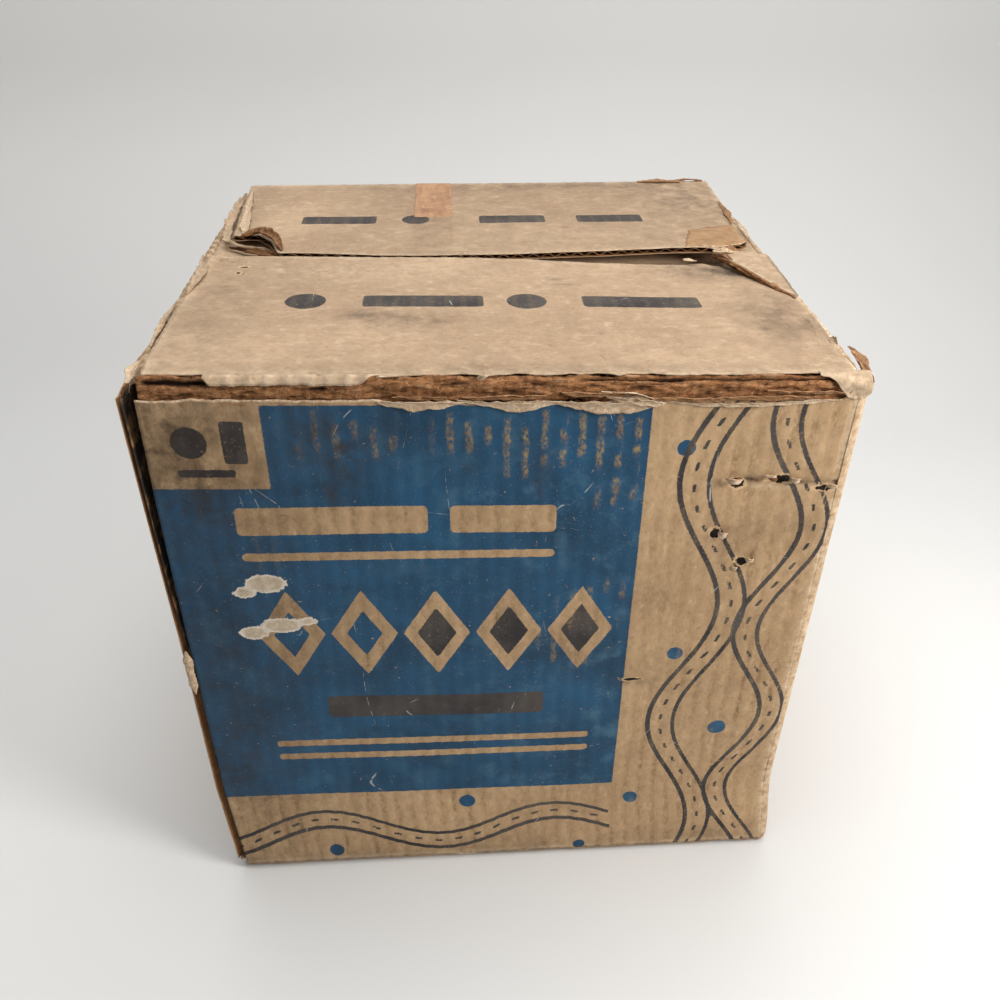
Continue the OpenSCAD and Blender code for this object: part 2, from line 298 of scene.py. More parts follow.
def printOver(colour, hollow, crest, dirt):
    # Blue and dark ink where their distances are positive, each with a ragged edge, then rubbed and scratched
    edge = uneven(0.9, 900, 3, 0.6)
    rub = useGroup(rubGroup, Vector=current["where"], Crest=crest, Rub=perPoint("rub"))["Mask"]
    scuff = useGroup(scratchGroup, Vector=current["where"], Amount=0.85)["Mask"]
    mottle = noise(26, 5, 0.62, 0.3)
    blue = layered(mix(remap(mottle, 0.36, 0.68), inks["blueDeep"], inks["blue"]),
                   (patches(0.52, 0.78, 70, 4, 0.6) * perPoint("faded"), inks["blueFaded"]),
                   # painted shade: the blue is deeper in the hollows between the flutes
                   (hollow * 0.18, inks["blueDeep"]))
    pinholes = patches(0.66, 0.74, 1500, 2, 0.6, to=(0.0, 0.5))
    blueMask = remap(perPoint("blueInk") + edge, 0.02, 0.30) * (1.0 - pinholes)
    dark = mix(remap(mottle, 0.40, 0.70, 0.0, 0.55), inks["dark"], inks["darkFaded"])
    darkMask = remap(perPoint("darkInk") + edge, 0.02, 0.30) * patches(0.60, 0.78, 700, 3, 0.6, to=(1.0, 0.35))
    ink = maths("MAXIMUM", blueMask, darkMask)
    rubbed = mix(patches(0.4, 0.6, 300, 2), inks["rubbed"], dirt)
    layers = (blueMask, blue), (darkMask, dark), (rub * (ink * 0.85), rubbed), (scuff * ink, inks["chalk"])
    return layered(colour, *layers), ink


def makeKraft(name, look, printed=False):
    look = kraftLooks[look]
    material = startMaterial(name)
    paper = useGroup(paperGroup, Vector=current["where"], **{key: look[key] for key in paperInputs})
    crest = perPoint("crest")
    # dust and painted shade lie in the hollows between the flutes, broken up along them
    hollow = remap(crest, 0.1, -1.0)
    broken = patches(0.38, 0.66, 60, 3, 0.6, at=stretched((1.0, 1.0, 0.35)))
    dustAndShade = patches(0.40, 0.62, 420, 4, 0.7, at=stretched((1.0, 1.0, 0.6)))
    # an edge that is handled or rubbed is paler
    worn = perPoint("wear") * patches(0.36, 0.60, 260, 4, 0.7)
    colour = layered(paper["Color"], ((hollow * broken) * (dustAndShade * look["streaks"]), look["Dirt"]),
                     (worn, paint(216, 192, 162)))
    gloss = remap(paper["Height"], 0.2, 0.9, 0.84, 0.96)
    if printed:
        colour, ink = printOver(colour, hollow, crest, look["Dirt"])
        gloss = remap(ink, 0.0, 1.0, 0.92, 0.66)
    # where a ply was pulled off, browner paper with a dark rim
    inBare = perPoint("bare") - pastEdge
    bare = remap(inBare + uneven(3.0, 300, 4, 0.7), 0.0, 0.3)
    under = mix(patches(0.35, 0.65, 160, 4, 0.6), paint(160, 124, 88), paint(182, 146, 108))
    soil = perPoint("soil") * patches(0.30, 0.62, 95, 5, 0.7, 0.3)
    hair = useGroup(scratchGroup, Vector=stretched((1.31, 0.83, 1.12), (3.1, 1.7, 0.9)), Amount=0.55)["Mask"]
    grimeAndShadeMask = perPoint("grime") * patches(0.30, 0.66, 130, 4, 0.65)
    hole = perPoint("hole") + uneven(1.2, 520, 3, 0.6)
    # where only the liner's face was torn away the raw paper shows, pale at its margin
    peel = (perPoint("peel") - pastEdge) + uneven(3.2, 420, 4, 0.7)
    inside = remap(peel, 0.0, 0.25)
    raw = mix(patches(0.36, 0.64, 520, 4, 0.7), paint(176, 158, 134), paint(198, 182, 160))
    torn = remap(perPoint("torn") + uneven(0.9, 500, 3, 0.7), 0.35, 0.75)
    fray = mix(patches(0.4, 0.62, 700, 3, 0.7), paint(172, 134, 96), paint(222, 204, 178))
    colour = layered(
        colour, (bare, under), (bare * remap(inBare, 0.3, 1.6, 0.7, 0.0), paint(112, 78, 50)),
        (soil, look.get("soil", paint(52, 42, 34))), (hair, paint(96, 72, 50)), (grimeAndShadeMask, inks["grime"]),
        # a hole has a pale torn rim, and its middle is painted near black as painted shade in the opening
        (remap(hole, 0.22, 0.36, 0.0, 0.85), paint(204, 172, 132)), (remap(hole, 0.52, 0.66), paint(26, 16, 10)),
        (inside, raw), ((inside * remap(peel, 0.5, 1.5, 1.0, 0.0)) * 0.8, paint(222, 212, 198)), (torn, fray))
    giveSurface(colour, gloss, (paper["Height"] + inside * -1.6) + torn * -0.8, 0.00018, 0.75, specular=0.28)
    return material


# Torn board: brown fluffed fibres with dark splits. A per-point value paints shade at the bottom of a tear.
def makeTornBoard():
    material = startMaterial("tornBoard")
    tuft = noise(520, 5, 0.72, 0.8, at=stretched((0.45, 1.0, 1.0)))
    fleck = noise(1300, 3, 0.7)
    split = noise(430, 4, 0.6, 0.5, at=stretched((0.16, 1.0, 1.0)))
    colour = layered(mix(remap(tuft, 0.34, 0.66), paint(104, 64, 36), paint(176, 126, 84)),
                     (remap(fleck, 0.56, 0.76, 0.0, 0.8), paint(214, 184, 150)),
                     (remap(split, 0.40, 0.30, 0.0, 0.85), paint(52, 27, 14)),
                     (perPoint("deep"), paint(30, 15, 8)), (perPoint("pale"), paint(206, 178, 144)))
    giveSurface(colour, remap(fleck, 0.3, 0.7, 0.88, 1.0), tuft + split * 0.8, 0.0009, 1.0, specular=0.15)
    return material


# Peeled ply: the pale, felty face that is left when a liner splits
def makePeeledPly():
    material = startMaterial("peeledPly")
    felt, fleck = noise(480, 5, 0.72, 0.5), noise(1500, 3, 0.7)
    colour = layered(mix(remap(felt, 0.34, 0.66), paint(170, 138, 104), paint(214, 194, 168)),
                     # painted shade where the ply lies deep
                     (remap(fleck, 0.56, 0.72, 0.0, 0.8), paint(232, 220, 202)), (perPoint("deep"), paint(112, 74, 44)))
    giveSurface(colour, remap(felt, 0.3, 0.7, 0.86, 0.98), felt + fleck * 0.5, 0.0004, 0.9, specular=0.2)
    return material


# Old cellophane tape: amber, glossy in places, crazed, and worn off in flakes
def makeOldTape():
    material = startMaterial("oldCellophane")
    streak, flake = noise(420, 4, 0.6, at=stretched((1.0, 0.12, 1.0))), noise(210, 5, 0.7, 0.6)
    colour = layered(mix(remap(streak, 0.32, 0.68), paint(150, 106, 72), paint(180, 134, 94)),
                     (remap(flake, 0.50, 0.66), paint(186, 152, 118)),
                     (patches(0.55, 0.75, 60, 3, to=(0.0, 0.6)), paint(118, 76, 46)))
    giveSurface(colour, remap(flake, 0.42, 0.60, 0.38, 0.85), streak + flake, 0.00015, 0.8)
    return material


# Gummed paper tape: plain brown paper with a slight sheen and cross wrinkles
def makeGummedTape():
    material = startMaterial("gummedPaper")
    paper = useGroup(paperGroup, Vector=current["where"], Stretch=(0.3, 1.0, 1.0), Tint=paint(172, 136, 96),
                     Dirt=paint(132, 98, 64), Pale=paint(192, 160, 122), Cloud=0.4, Fibre=0.5)
    wrinkle = noise(90, 3, 0.6, 0.4, at=stretched((0.3, 1.6, 0.3)))
    giveSurface(paper["Color"], remap(wrinkle, 0.35, 0.65, 0.5, 0.75), paper["Height"] + wrinkle * 2.0, 0.0002, 0.8)
    return material


topKraft = makeKraft("topKraft", "top", printed=True)
frontKraft = makeKraft("frontKraft", "wall", printed=True)
sideKraft = makeKraft("sideKraft", "side")
innerKraft = makeKraft("innerKraft", "inside")
mediumKraft = makeKraft("mediumKraft", "medium")
tornBoard, peeledPly, oldCellophane, gummedPaper = makeTornBoard(), makePeeledPly(), makeOldTape(), makeGummedTape()
print("finishes made")

# Materials of a ply: its outer face, its inner face and its rim
topLiner, frayedLiner = (topKraft, mediumKraft, peeledPly), (topKraft, peeledPly, peeledPly)
sideLiner, pressedBoard = (sideKraft, innerKraft, peeledPly), (sideKraft, innerKraft, mediumKraft)
medium, tornMedium = (mediumKraft,) * 3, (mediumKraft, mediumKraft, tornBoard)
innerLiner = (mediumKraft, innerKraft, mediumKraft)
felt, raw = (peeledPly,) * 3, (tornBoard,) * 3


# Shape helpers, all on whole arrays in millimetres
def ease(t):  # 0 to 1 with a soft start and end
    t = np.clip(t, 0, 1)
    return t * t * (3 - 2 * t)


def between(t, low, high, rise, fall):  # 1 between low and high, with soft ends inside them
    return ease((t - low) / rise) * ease((high - t) / fall)


def ridge(t, middle, width):
    return np.exp(-((t - middle) / width) ** 2)


def spot(x, y, cx, cy, rx, ry):  # a soft round hill, 1 at its middle
    return np.exp(-((x - cx) / rx) ** 2 - ((y - cy) / ry) ** 2)


def hills(x, y, rows):  # soft hills added up: each row holds the middle, the two radii and the height
    return sum(amount * spot(x, y, *where) for *where, amount in rows)


tornSizes = (0.5, 0.3, 0.2)


def jagged(t, seed, steps=(9.0, 3.7, 1.4), sizes=(0.5, 0.32, 0.18)):
    # A torn line: straight runs between random heights, at several spacings, added up
    total = np.zeros_like(t, dtype=float)
    for k, (step, size) in enumerate(zip(steps, sizes)):
        heights = np.random.default_rng(seed * 31 + k).uniform(-1, 1, 2048)
        total += size * np.interp(t / step + 900, np.arange(2048), heights)
    return total


def ripple(x, y, seed, length=60.0, terms=8):
    # Uneven ground: sines in random directions with random phases, added up
    draw, total = np.random.default_rng(seed), 0.0
    for _ in range(terms):
        angle, phase, stretch = draw.uniform(0, 2 * np.pi), draw.uniform(0, 2 * np.pi), draw.uniform(0.6, 1.8)
        total = total + np.sin(2 * np.pi * (x * np.cos(angle) + y * np.sin(angle)) / (length * stretch) + phase)
    return total / np.sqrt(terms)


def settle(x, y, z):
    # The old carton is racked: its front left top stands high and its front right top low, fading to the back and foot.
    # The two side creases have been pushed up beside the flaps that lie between them.
    share = np.clip((halfDeep - y) / carton["depth"], 0, 1)
    beside = ease((np.abs(x) - 144.4) / 1.6) * ease((y + 136) / 22) * ease((z - 280) / 11)
    pushed = np.where(x > 0, carton["pushedRight"] * share, carton["pushedLeft"] * ease((132 - y) / 30))
    return z - carton["twist"] * (x / halfWide) * np.clip(z / tall, 0, 1.1) * share + beside * pushed


def stack(x, y, z, slid=1.0):
    # slid is the share of the foot's slide that the points take part in
    slid = slid * ease(1 - z / carton["footFrom"]) * ease((-y - 20) / 118)
    out = carton["footOut"] - carton["footTurn"] * x / halfWide
    return np.stack([x + carton["footRight"] * slid, y - out * slid, settle(x, y, z)], -1)


def onWall(side, a, d, h, slid=1.0):
    # a runs along the wall from its left end, d goes into the carton, h goes up.
    # Walls are numbered from the front, counter-clockwise.
    length, reach = (carton["width"], carton["depth"]) if side % 2 == 0 else (carton["depth"], carton["width"])
    x, y = a - length / 2, d - reach / 2
    for _ in range(side):
        x, y = -y, x
    return stack(x, y, h + 0 * x, slid)


def topLevel(side):
    return tall if side % 2 == 0 else minorTop


def floorLevel(side):
    return carton["tape"] if side % 2 == 0 else minorFloor


def onTopFlap(side, a, d, h):  # the flap lies flat: h runs inwards from the crease, d goes down
    return onWall(side, a, h, topLevel(side) - d)


def onTopCrease(side, a, d, s):
    # s follows the board up the wall, round the crease and along the flap: below 0 is wall, past quarter is flap
    turn = np.clip(s / bend, 0, np.pi / 2)
    inward = bend - (bend - d) * np.cos(turn) + np.clip(s - quarter, 0, None)
    up = topLevel(side) - bend + (bend - d) * np.sin(turn) + np.clip(s, None, 0)
    return onWall(side, a, inward, up)


def onCorner(side, a, d, h):
    # a is the way round the upright corner at the left end of a wall, from the wall before it
    turn = np.clip(a / bend, 0, np.pi / 2)
    return onWall(side, bend - (bend - d) * np.cos(turn), bend - (bend - d) * np.sin(turn), h)


def makeObject(name, points, faces):
    mesh = bpy.data.meshes.new(name)
    mesh.from_pydata(points.tolist(), [], faces.tolist())
    piece = bpy.data.objects.new(name, mesh)
    bpy.context.collection.objects.link(piece)
    return piece, mesh


def quadsOf(index):  # the faces of a grid of points
    return np.stack([index[:-1, :-1], index[:-1, 1:], index[1:, 1:], index[1:, :-1]], -1).reshape(-1, 4)


def closedSheet(name, outer, inner, materials, values=None):
    # Two grids of points, joined by a rim into a closed sheet. Materials: outer face, inner face, rim.
    rows, columns = outer.shape[:2]
    count = rows * columns
    points = np.concatenate([outer.reshape(-1, 3), inner.reshape(-1, 3)]) / 1000
    index = np.arange(count).reshape(rows, columns)
    quads = quadsOf(index)
    loop = np.concatenate([index[0, :], index[1:, -1], index[-1, -2::-1], index[-2:0:-1, 0]])
    after = np.roll(loop, -1)
    rim = np.stack([loop, loop + count, after + count, after], -1)
    corner = points[quads]
    facing = np.cross(corner[:, 1] - corner[:, 0], corner[:, 3] - corner[:, 0])
    if (facing * (points[quads[:, 0]] - points[quads[:, 0] + count])).sum() < 0:
        quads, rim = quads[:, ::-1], rim[:, ::-1]
    piece, mesh = makeObject(name, points, np.concatenate([quads, quads[:, ::-1] + count, rim]))
    which = np.repeat([0, 1, 2], [len(quads), len(quads), len(rim)])
    mesh.polygons.foreach_set("material_index", which.astype(np.int32))
    mesh.polygons.foreach_set("use_smooth", which < 2)
    for key, numbers in (values or {}).items():
        numbers = np.broadcast_to(numbers, (rows, columns)).reshape(-1)
        layer = mesh.attributes.new(key, "FLOAT", "POINT")
        layer.data.foreach_set("value", np.concatenate([numbers, numbers]).astype(np.float32))
    for material in materials:
        mesh.materials.append(material)
    mesh.update()
    return piece


def finish(piece, body, slotName, *stands):
    # body is one name, to which the piece is attached, or a pair with the two points of a bend; a piece given a pair is
    # left where it stands and is not bent
    if isinstance(body, str):
        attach(piece, body)
    else:
        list(body)
        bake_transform(piece)
    if stands:
        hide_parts(*stands)
    return piece


def level(number):  # an edge that is straight
    return lambda t: number + 0 * t


def gridOf(edges, span, columns, rows):
    # A grid between four edges: left and right are given at each height, low and high at each place along
    left, right, low, high = edges
    v = np.linspace(0, 1, rows)[:, None] * np.ones((1, columns))
    u = np.linspace(0, 1, columns)[None, :] * np.ones((rows, 1))
    height = span[0] + (span[1] - span[0]) * v
    a = left(height) + (right(height) - left(height)) * u
    return a, low(a) + (high(a) - low(a)) * v


parts = {"outer": "outer_liner", "medium": "flutes", "inner": "inner_liner"}


def makePly(name, layer, board, edges, materials, valuesOf=None, slotName=None):
    # One ply of a board. The board's shape gives, at each point, how far the board bows out, how deep its outer face is
    # dented, and the share of its thickness that it has lost where it is pressed. The outer ply has the finest grid,
    # in steps of the given millimetres, and the fluted medium has eight columns to a flute.
    ends = np.array(board["span"])
    wide = float(np.max(edges[1](ends)) - np.min(edges[0](ends)))
    fine, rowStep = board["steps"]
    columns = int(wide / {"outer": fine, "medium": pitch / 8, "inner": 3}[layer])
    rows = int((ends[1] - ends[0]) / rowStep)
    a, h = gridOf(edges, board["span"], columns, rows if layer == "outer" else rows // 3)
    bow, dent, press = board["shape"](a, h)
    thick, outer, inner = carton["board"], carton["outerLiner"], carton["innerLiner"]
    wave = np.sin(2 * np.pi * (a - board["start"]) / pitch)
    if layer == "outer":
        face = -bow + dent + board["relief"] * wave
        depths = face, face + outer
    elif layer == "medium":
        middle = outer + (thick - outer - inner) / 2 + carton["fluteSwing"] * wave
        push = -bow + dent * (1 - middle / (thick - inner)) + middle
        depths = push - carton["medium"] / 2, push + carton["medium"] / 2
    else:
        depths = -bow + thick - inner + board.get("innerRelief", board["relief"]) * 0.6 * wave, -bow + thick
    faces = [board["place"](board["side"], a, d - press * (d + bow), h) for d in depths]
    values = {**(valuesOf(a, h) if valuesOf else {}), "crest": -wave}
    piece = closedSheet(name, *faces, materials, values)
    finish(piece, board["body"], slotName or parts[layer], f"{board['node']}_{parts[layer]}")


# Print: shapes are distances in mm, positive inside
def disc(x, y, cx, cy, radius):
    return radius - np.hypot(x - cx, y - cy)


def bar(x, y, x0, x1, y0, y1, corner=0.0):
    dx, dy = (np.abs(t - (t0 + t1) / 2) - (t1 - t0) / 2 + corner for t, t0, t1 in ((x, x0, x1), (y, y0, y1)))
    return corner - np.hypot(np.maximum(dx, 0), np.maximum(dy, 0)) - np.minimum(np.maximum(dx, dy), 0)


def lozenge(x, y, cx, cy, halfWidth, halfHeight):
    run = np.abs(x - cx) / halfWidth + np.abs(y - cy) / halfHeight
    return (1 - run) / np.hypot(1 / halfWidth, 1 / halfHeight)


def wavyLine(x, y, base, swing, length, phase, thick):
    angle = 2 * np.pi * y / length + phase
    slope = swing * 2 * np.pi / length * np.cos(angle)
    return thick / 2 - np.abs(x - base - swing * np.sin(angle)) / np.sqrt(1 + slope ** 2)


def union(*shapes):
    return np.maximum.reduce([s + 0 * shapes[0] for s in shapes])


def discsAndBars(x, y, rows, corner):  # a row of three is a disc, a row of four a bar
    return union(*[disc(x, y, *row) if len(row) == 3 else bar(x, y, *row, corner) for row in rows])


noInk = -9.0  # a distance far outside the print
frontPrint = {
    "field": (-152, 60, 53.5, 289), "bareCorner": (-160, -99, 250, 300),
    "bars": [(-116, -34, 226, 240), (-24, 22, 226, 240), (-116, 22, 212, 216)],
    "thinBars": [(-116, 44, 92, 96), (-116, 44, 82, 86)], "darkBar": (-88, 20, 112, 127),
    "lozenges": [(-100, 168), (-66, 168), (-32, 168), (2, 168), (36, 168)],
    "lozengeSize": (15.5, 26), "blueCore": (8.5, 14.3), "darkCore": (9.5, 16),
    # wavy lines: place, swing, length, phase, thickness. The first of each pair has short marks beside it, at this gap.
    "waves": [(88, 13, 150, 0.4, 2.8), (101, 13, 150, 0.4, 2.5), (122, 11, 118, 2.2, 2.8), (134, 11, 118, 2.2, 2.5)],
    "floorWaves": [(20, 9, 126, 0.2, 2.8), (31, 9, 126, 0.2, 2.5)], "gaps": (6.5, 6.0), "floorGaps": (5.5,),
    "onRight": (62, 160, -10, 291), "onFloor": (-160, 58, -10, 51.5), "blueSide": (-160, 62, 51.5, 320),
    "cornerMarks": [(-129, 272, 7.5), (-116, -106, 262, 282), (-136, -112, 255.5, 259.5)],
    "blueDots": [(76, 268, 4.2), (84, 150, 4.2), (112, 96, 5.0), (70, 42, 4.2), (-20, 44, 4.6), (-96, 12, 4.2),
                 (40, 8, 3.6)],
}
topPrint = {
    "front": [(-88, -60, 9.5), (-62, -6, -67, -53), (14, -60, 9.5), (40, 96, -67, -53)],
    "back": [(-104, -62, 54, 68), (-40, 61, 8.0), (-4, 34, 54, 68), (52, 90, 54, 68)],
}


def wavyPairs(across, along, waves, gaps):
    # Wavy lines, and beside the first line of each pair a row of short marks, 11 mm apart
    lines = [wavyLine(across, along, *wave) for wave in waves]
    for (base, *wave, _), gap in zip(waves[::2], gaps):
        row = wavyLine(across, along, base + gap, *wave, 2.0)
        lines.append(np.minimum(row, 2.4 - np.abs(along % 11 - 5.5)))
    return union(*lines)


def frontInk(x, z):
    p = frontPrint
    field = np.minimum(bar(x, z, *p["field"]), -bar(x, z, *p["bareCorner"]))
    knocked = union(*[bar(x, z, *b, 2.0) for b in p["bars"]], *[bar(x, z, *b, 1.0) for b in p["thinBars"]],
                    *[lozenge(x, z, *at, *p["lozengeSize"]) for at in p["lozenges"]])
    blue = union(np.minimum(field, -knocked), *[lozenge(x, z, *at, *p["blueCore"]) for at in p["lozenges"][:2]],
                 *[disc(x, z, *dot) for dot in p["blueDots"]])
    right = np.minimum(wavyPairs(x, z, p["waves"], p["gaps"]), bar(x, z, *p["onRight"]))
    low = np.minimum(wavyPairs(z, x, p["floorWaves"], p["floorGaps"]), bar(x, z, *p["onFloor"]))
    dark = union(discsAndBars(x, z, p["cornerMarks"], 1.2), bar(x, z, *p["darkBar"], 2.5),
                 *[lozenge(x, z, *at, *p["darkCore"]) for at in p["lozenges"][2:]],
                 np.minimum(union(right, low), -bar(x, z, *p["blueSide"])))
    return blue, dark


# Front wall. Each row of dents, smudges, holes and darkening holds the middle, the two radii and the amount. The
# darkening rows make the front darker at its left side, along its foot and in a strip at its right edge.
frontWall = {
    "start": 4.0, "foot": 5.15, "top": 296.0, "right": 295.0,
    "splitZ": [5, 60, 110, 150, 200, 250, 291], "splitGap": [0.4, 0.4, 0.3, 0.3, 0.8, 1.8, 3.2],
    "bowZ": [0, 20, 60, 110, 150, 200, 250, 291], "bow": [1.0, 1.5, 3.2, 3.0, 2.6, 3.2, 3.6, 3.8],
    "tornTopAt": [3, 33, 37, 97, 101, 211, 217, 289, 291.5],
    "tornTop": [290.6, 290.6, 291.5, 291.5, 290.0, 290.0, 291.5, 291.5, 296.0],
    "tornTopRough": [2.0, 2.0, 0.8, 0.8, 1.6, 1.6, 1.4, 1.4, 0.0],
    "foldAt": 250,
    "dents": [(101, 250, 7, 4, 1.5), (117, 250, 6, 2.2, 1.9), (94, 222, 4.5, 5, 1.1), (108, 208, 3, 4, 0.9),
              (66, 128, 8, 3.5, 1.1), (18, 248, 5, 7, 0.9), (-97, 14, 9, 5, 0.8), (130, 60, 12, 9, 0.7)],
    "peels": [(-108, 199, 9.5, 5.5), (-118, 194, 5.5, 3.2), (-104, 174, 10, 4.6), (-117, 170, 7, 4.2),
              (-92, 176, 5, 2.6)],
    # from and to across, amount, seed, height, spread, half length
    "rubRows": [(-34, 66, 1.15, 1, 276, 3.5, 8), (-6, 62, 1.1, 2, 264, 4, 7), (33, 66, 1.1, 3, 245, 2.5, 7),
                (-96, -40, 0.8, 4, 272, 7, 9), (8, 56, 0.85, 5, 163, 14, 8), (20, 62, 0.7, 6, 190, 9, 5)],
    "smudges": [(-80, 276, 13, 18, 0.8), (-66, 262, 7, 14, 0.85), (-48, 274, 9, 14, 0.5), (-16, 262, 6, 12, 0.4),
                (16, 262, 5, 12, 0.4), (-74, 246, 4, 9, 0.75), (-2, 178, 8, 14, 0.3), (30, 150, 10, 16, 0.35),
                (120, 225, 30, 8, 0.25), (147, 270, 2.5, 14, 0.8), (-124, 236, 8, 9, 0.4), (120, 12, 28, 6, 0.35),
                (-60, 8, 60, 5, 0.3), (112, 250, 26, 3, 0.35), (98, 215, 12, 12, 0.25), (62, 131, 12, 5, 0.4),
                (14.6, 247.5, 1.1, 4.5, 1.1), (13.2, 252, 1.8, 0.9, 0.9)],
    "holes": [(101.0, 249.2, 3.4, 2.6, 1.3), (119.5, 251.4, 5.4, 2.6, 1.3), (94.5, 222.5, 2.4, 3.4, 1.3),
              (109, 206.5, 3.2, 2.2, 1.3), (64, 132.6, 5.4, 1.1, 1.3), (139, 247, 4.6, 1.5, 1.3)],
    "soil": [(-140, 272, 36, 44, 0.62), (-125, 180, 46, 120, 0.34), (0, 0, 150, 16, 0.3), (-140, 60, 26, 90, 0.4),
             (148, 150, 5, 150, 0.3), (-20, 150, 90, 60, 0.08)],
}


def leftBow(z):
    return np.interp(z, frontWall["bowZ"], frontWall["bow"])


def frontLeftEdge(z):
    return carton["board"] - leftBow(z) + np.interp(z, frontWall["splitZ"], frontWall["splitGap"]) + 0.12 * jagged(z, 5)


def frontTopEdge(a, seed=11):
    height, size = (np.interp(a, frontWall["tornTopAt"], frontWall[key]) for key in ("tornTop", "tornTopRough"))
    return height + size * jagged(a, seed)


def foldLine(a):
    return frontWall["foldAt"] + 2.0 * jagged(a, 8, (30, 11), (0.6, 0.4))


def frontShape(a, h):
    x = a - halfWide
    belly = 1.1 * np.sin(np.pi * np.clip((h - 5) / 286, 0, 1)) * np.sin(np.pi * np.clip(a / 295, 0, 1))
    bow = belly + 0.35 * ripple(a, h, 3, 90) * between(h, 5, 291, 30, 30) * ease((295 - a) / 25)
    fold = 0.7 * ridge(h, foldLine(a), 1.3) * ease((x - 78) / 14)
    sideLine = 143.5 + 0.8 * jagged(h, 9, (40, 17), (0.6, 0.4))
    side = 0.55 * ridge(x, sideLine, 0.9) * ease((h - 225) / 25)
    return bow, np.clip(hills(x, h, frontWall["dents"]) + fold + side, 0, 2.6), 0


def dashes(a, h, seed, middle, spread, halfLength):
    # On each flute a worn dash with its own height and length
    flute = np.floor((a - frontWall["start"]) / pitch).astype(int)
    draw = np.random.default_rng(seed)
    centre, half = draw.uniform(-spread, spread, 64)[flute], halfLength * draw.uniform(0.3, 1.25, 64)[flute]
    return ease((half - np.abs(h - middle - centre)) / 3.0 + 0.5)


def frontValues(a, h):
    x = a - halfWide
    blue, dark = frontInk(x, h)
    rub = sum(amount * dashes(a, h, seed, *row) * between(x, x0, x1, 12, 6)
              for x0, x1, amount, seed, *row in frontWall["rubRows"])
    peel = union(*[min(rx, rz) * (1 - np.hypot((x - cx) / rx, (h - cz) / rz)) for cx, cz, rx, rz in frontWall["peels"]])
    edgeGap = np.minimum(h - frontWall["foot"], frontWall["right"] - a)
    nearFold = ease((x - 92) / 8)
    return {
        "blueInk": blue, "darkInk": dark, "peel": np.clip(peel + pastEdge, 0, None),
        "rub": np.clip(rub + 0.5 * spot(x, h, -105, 212, 5, 14) + 0.35 * ease((x - 62) / 4), 0, 1.2),
        # smudges, and along the fold dirt and painted shade in its crease
        "grime": np.clip(hills(x, h, frontWall["smudges"]) + 0.75 * nearFold * ridge(h, foldLine(a), 1.1), 0, 1),
        "hole": np.clip(hills(x, h, frontWall["holes"]), 0, 1.3), "soil": np.clip(hills(x, h, frontWall["soil"]), 0, 1),
        "faded": 0.3 + 0.5 * ease((x + 60) / 120) + 0.9 * spot(x, h, 4, 238, 26, 12),
        "torn": np.clip(1 - (frontTopEdge(a) - h) / 1.6, 0, 1) * (a < 291),
        "wear": 0.85 * ease(1 - edgeGap / 4.0) + 0.6 * nearFold * ridge(h, foldLine(a) - 2.4, 1.2),
    }


def makeFrontWall():
    board = {"node": "front_wall", "body": "carton", "place": onWall, "side": 0, "shape": frontShape, "relief": 0.11,
             "innerRelief": 0.09, "start": frontWall["start"], "span": (frontWall["foot"], frontWall["top"]),
             "steps": (1.36, 1.38)}
    right, low = level(frontWall["right"]), level(frontWall["foot"])
    makePly("frontWallOuterLiner", "outer", board, (frontLeftEdge, right, low, frontTopEdge),
            (frontKraft, innerKraft, peeledPly), frontValues, "printed_liner")
    makePly("frontWallFlutes", "medium", board, (lambda t: frontLeftEdge(t) + 0.5 + 0.3 * jagged(t, 21), right, low,
                                                 lambda t: frontTopEdge(t, 23) - 0.6), medium)
    makePly("frontWallInnerLiner", "inner", board, (lambda t: frontLeftEdge(t) + 1.0, right, low, level(tall - bend)),
            innerLiner)


makeFrontWall()
print("front wall made")

# Side and back walls, each from 5 mm past its left corner to its right corner
wallLooks = {
    1: {"name": "right", "right": 272.0, "rough": 0.0, "seed": 41},
    2: {"name": "back", "right": 295.0, "rough": 0.0, "seed": 42},
    3: {"name": "left", "right": 276.85, "rough": 0.35, "seed": 43},
}


def wallSpan(side):
    return floorLevel(side) + bend, topLevel(side) - bend


def wallShape(side):
    look, (low, high) = wallLooks[side], wallSpan(side)

    def shape(a, h):
        middle = between(h, low, high, 30, 30) * ease((a - bend) / 30)
        middle = middle * (1 if side == 3 else ease((look["right"] - a) / 30))
        belly = 1.2 * np.sin(np.pi * np.clip((h - low) / (high - low), 0, 1))
        bow = middle * (0.5 * ripple(a, h, look["seed"], 110) + belly)
        dent = middle * hills(a, h, [(60, 80, 14, 9, 0.9), (200, 210, 9, 14, 0.8)])
        if side < 3:
            return bow, dent, 0
        # the left wall's front edge, at the split corner, stands away from the front wall and is crushed
        bow = bow * ease((277 - a) / 60) + leftBow(h) * ease((a - 190) / 87)
        return bow, dent, 0.52 * ease((a - 258) / 17) * ease((h - 120) / 90)

    return shape


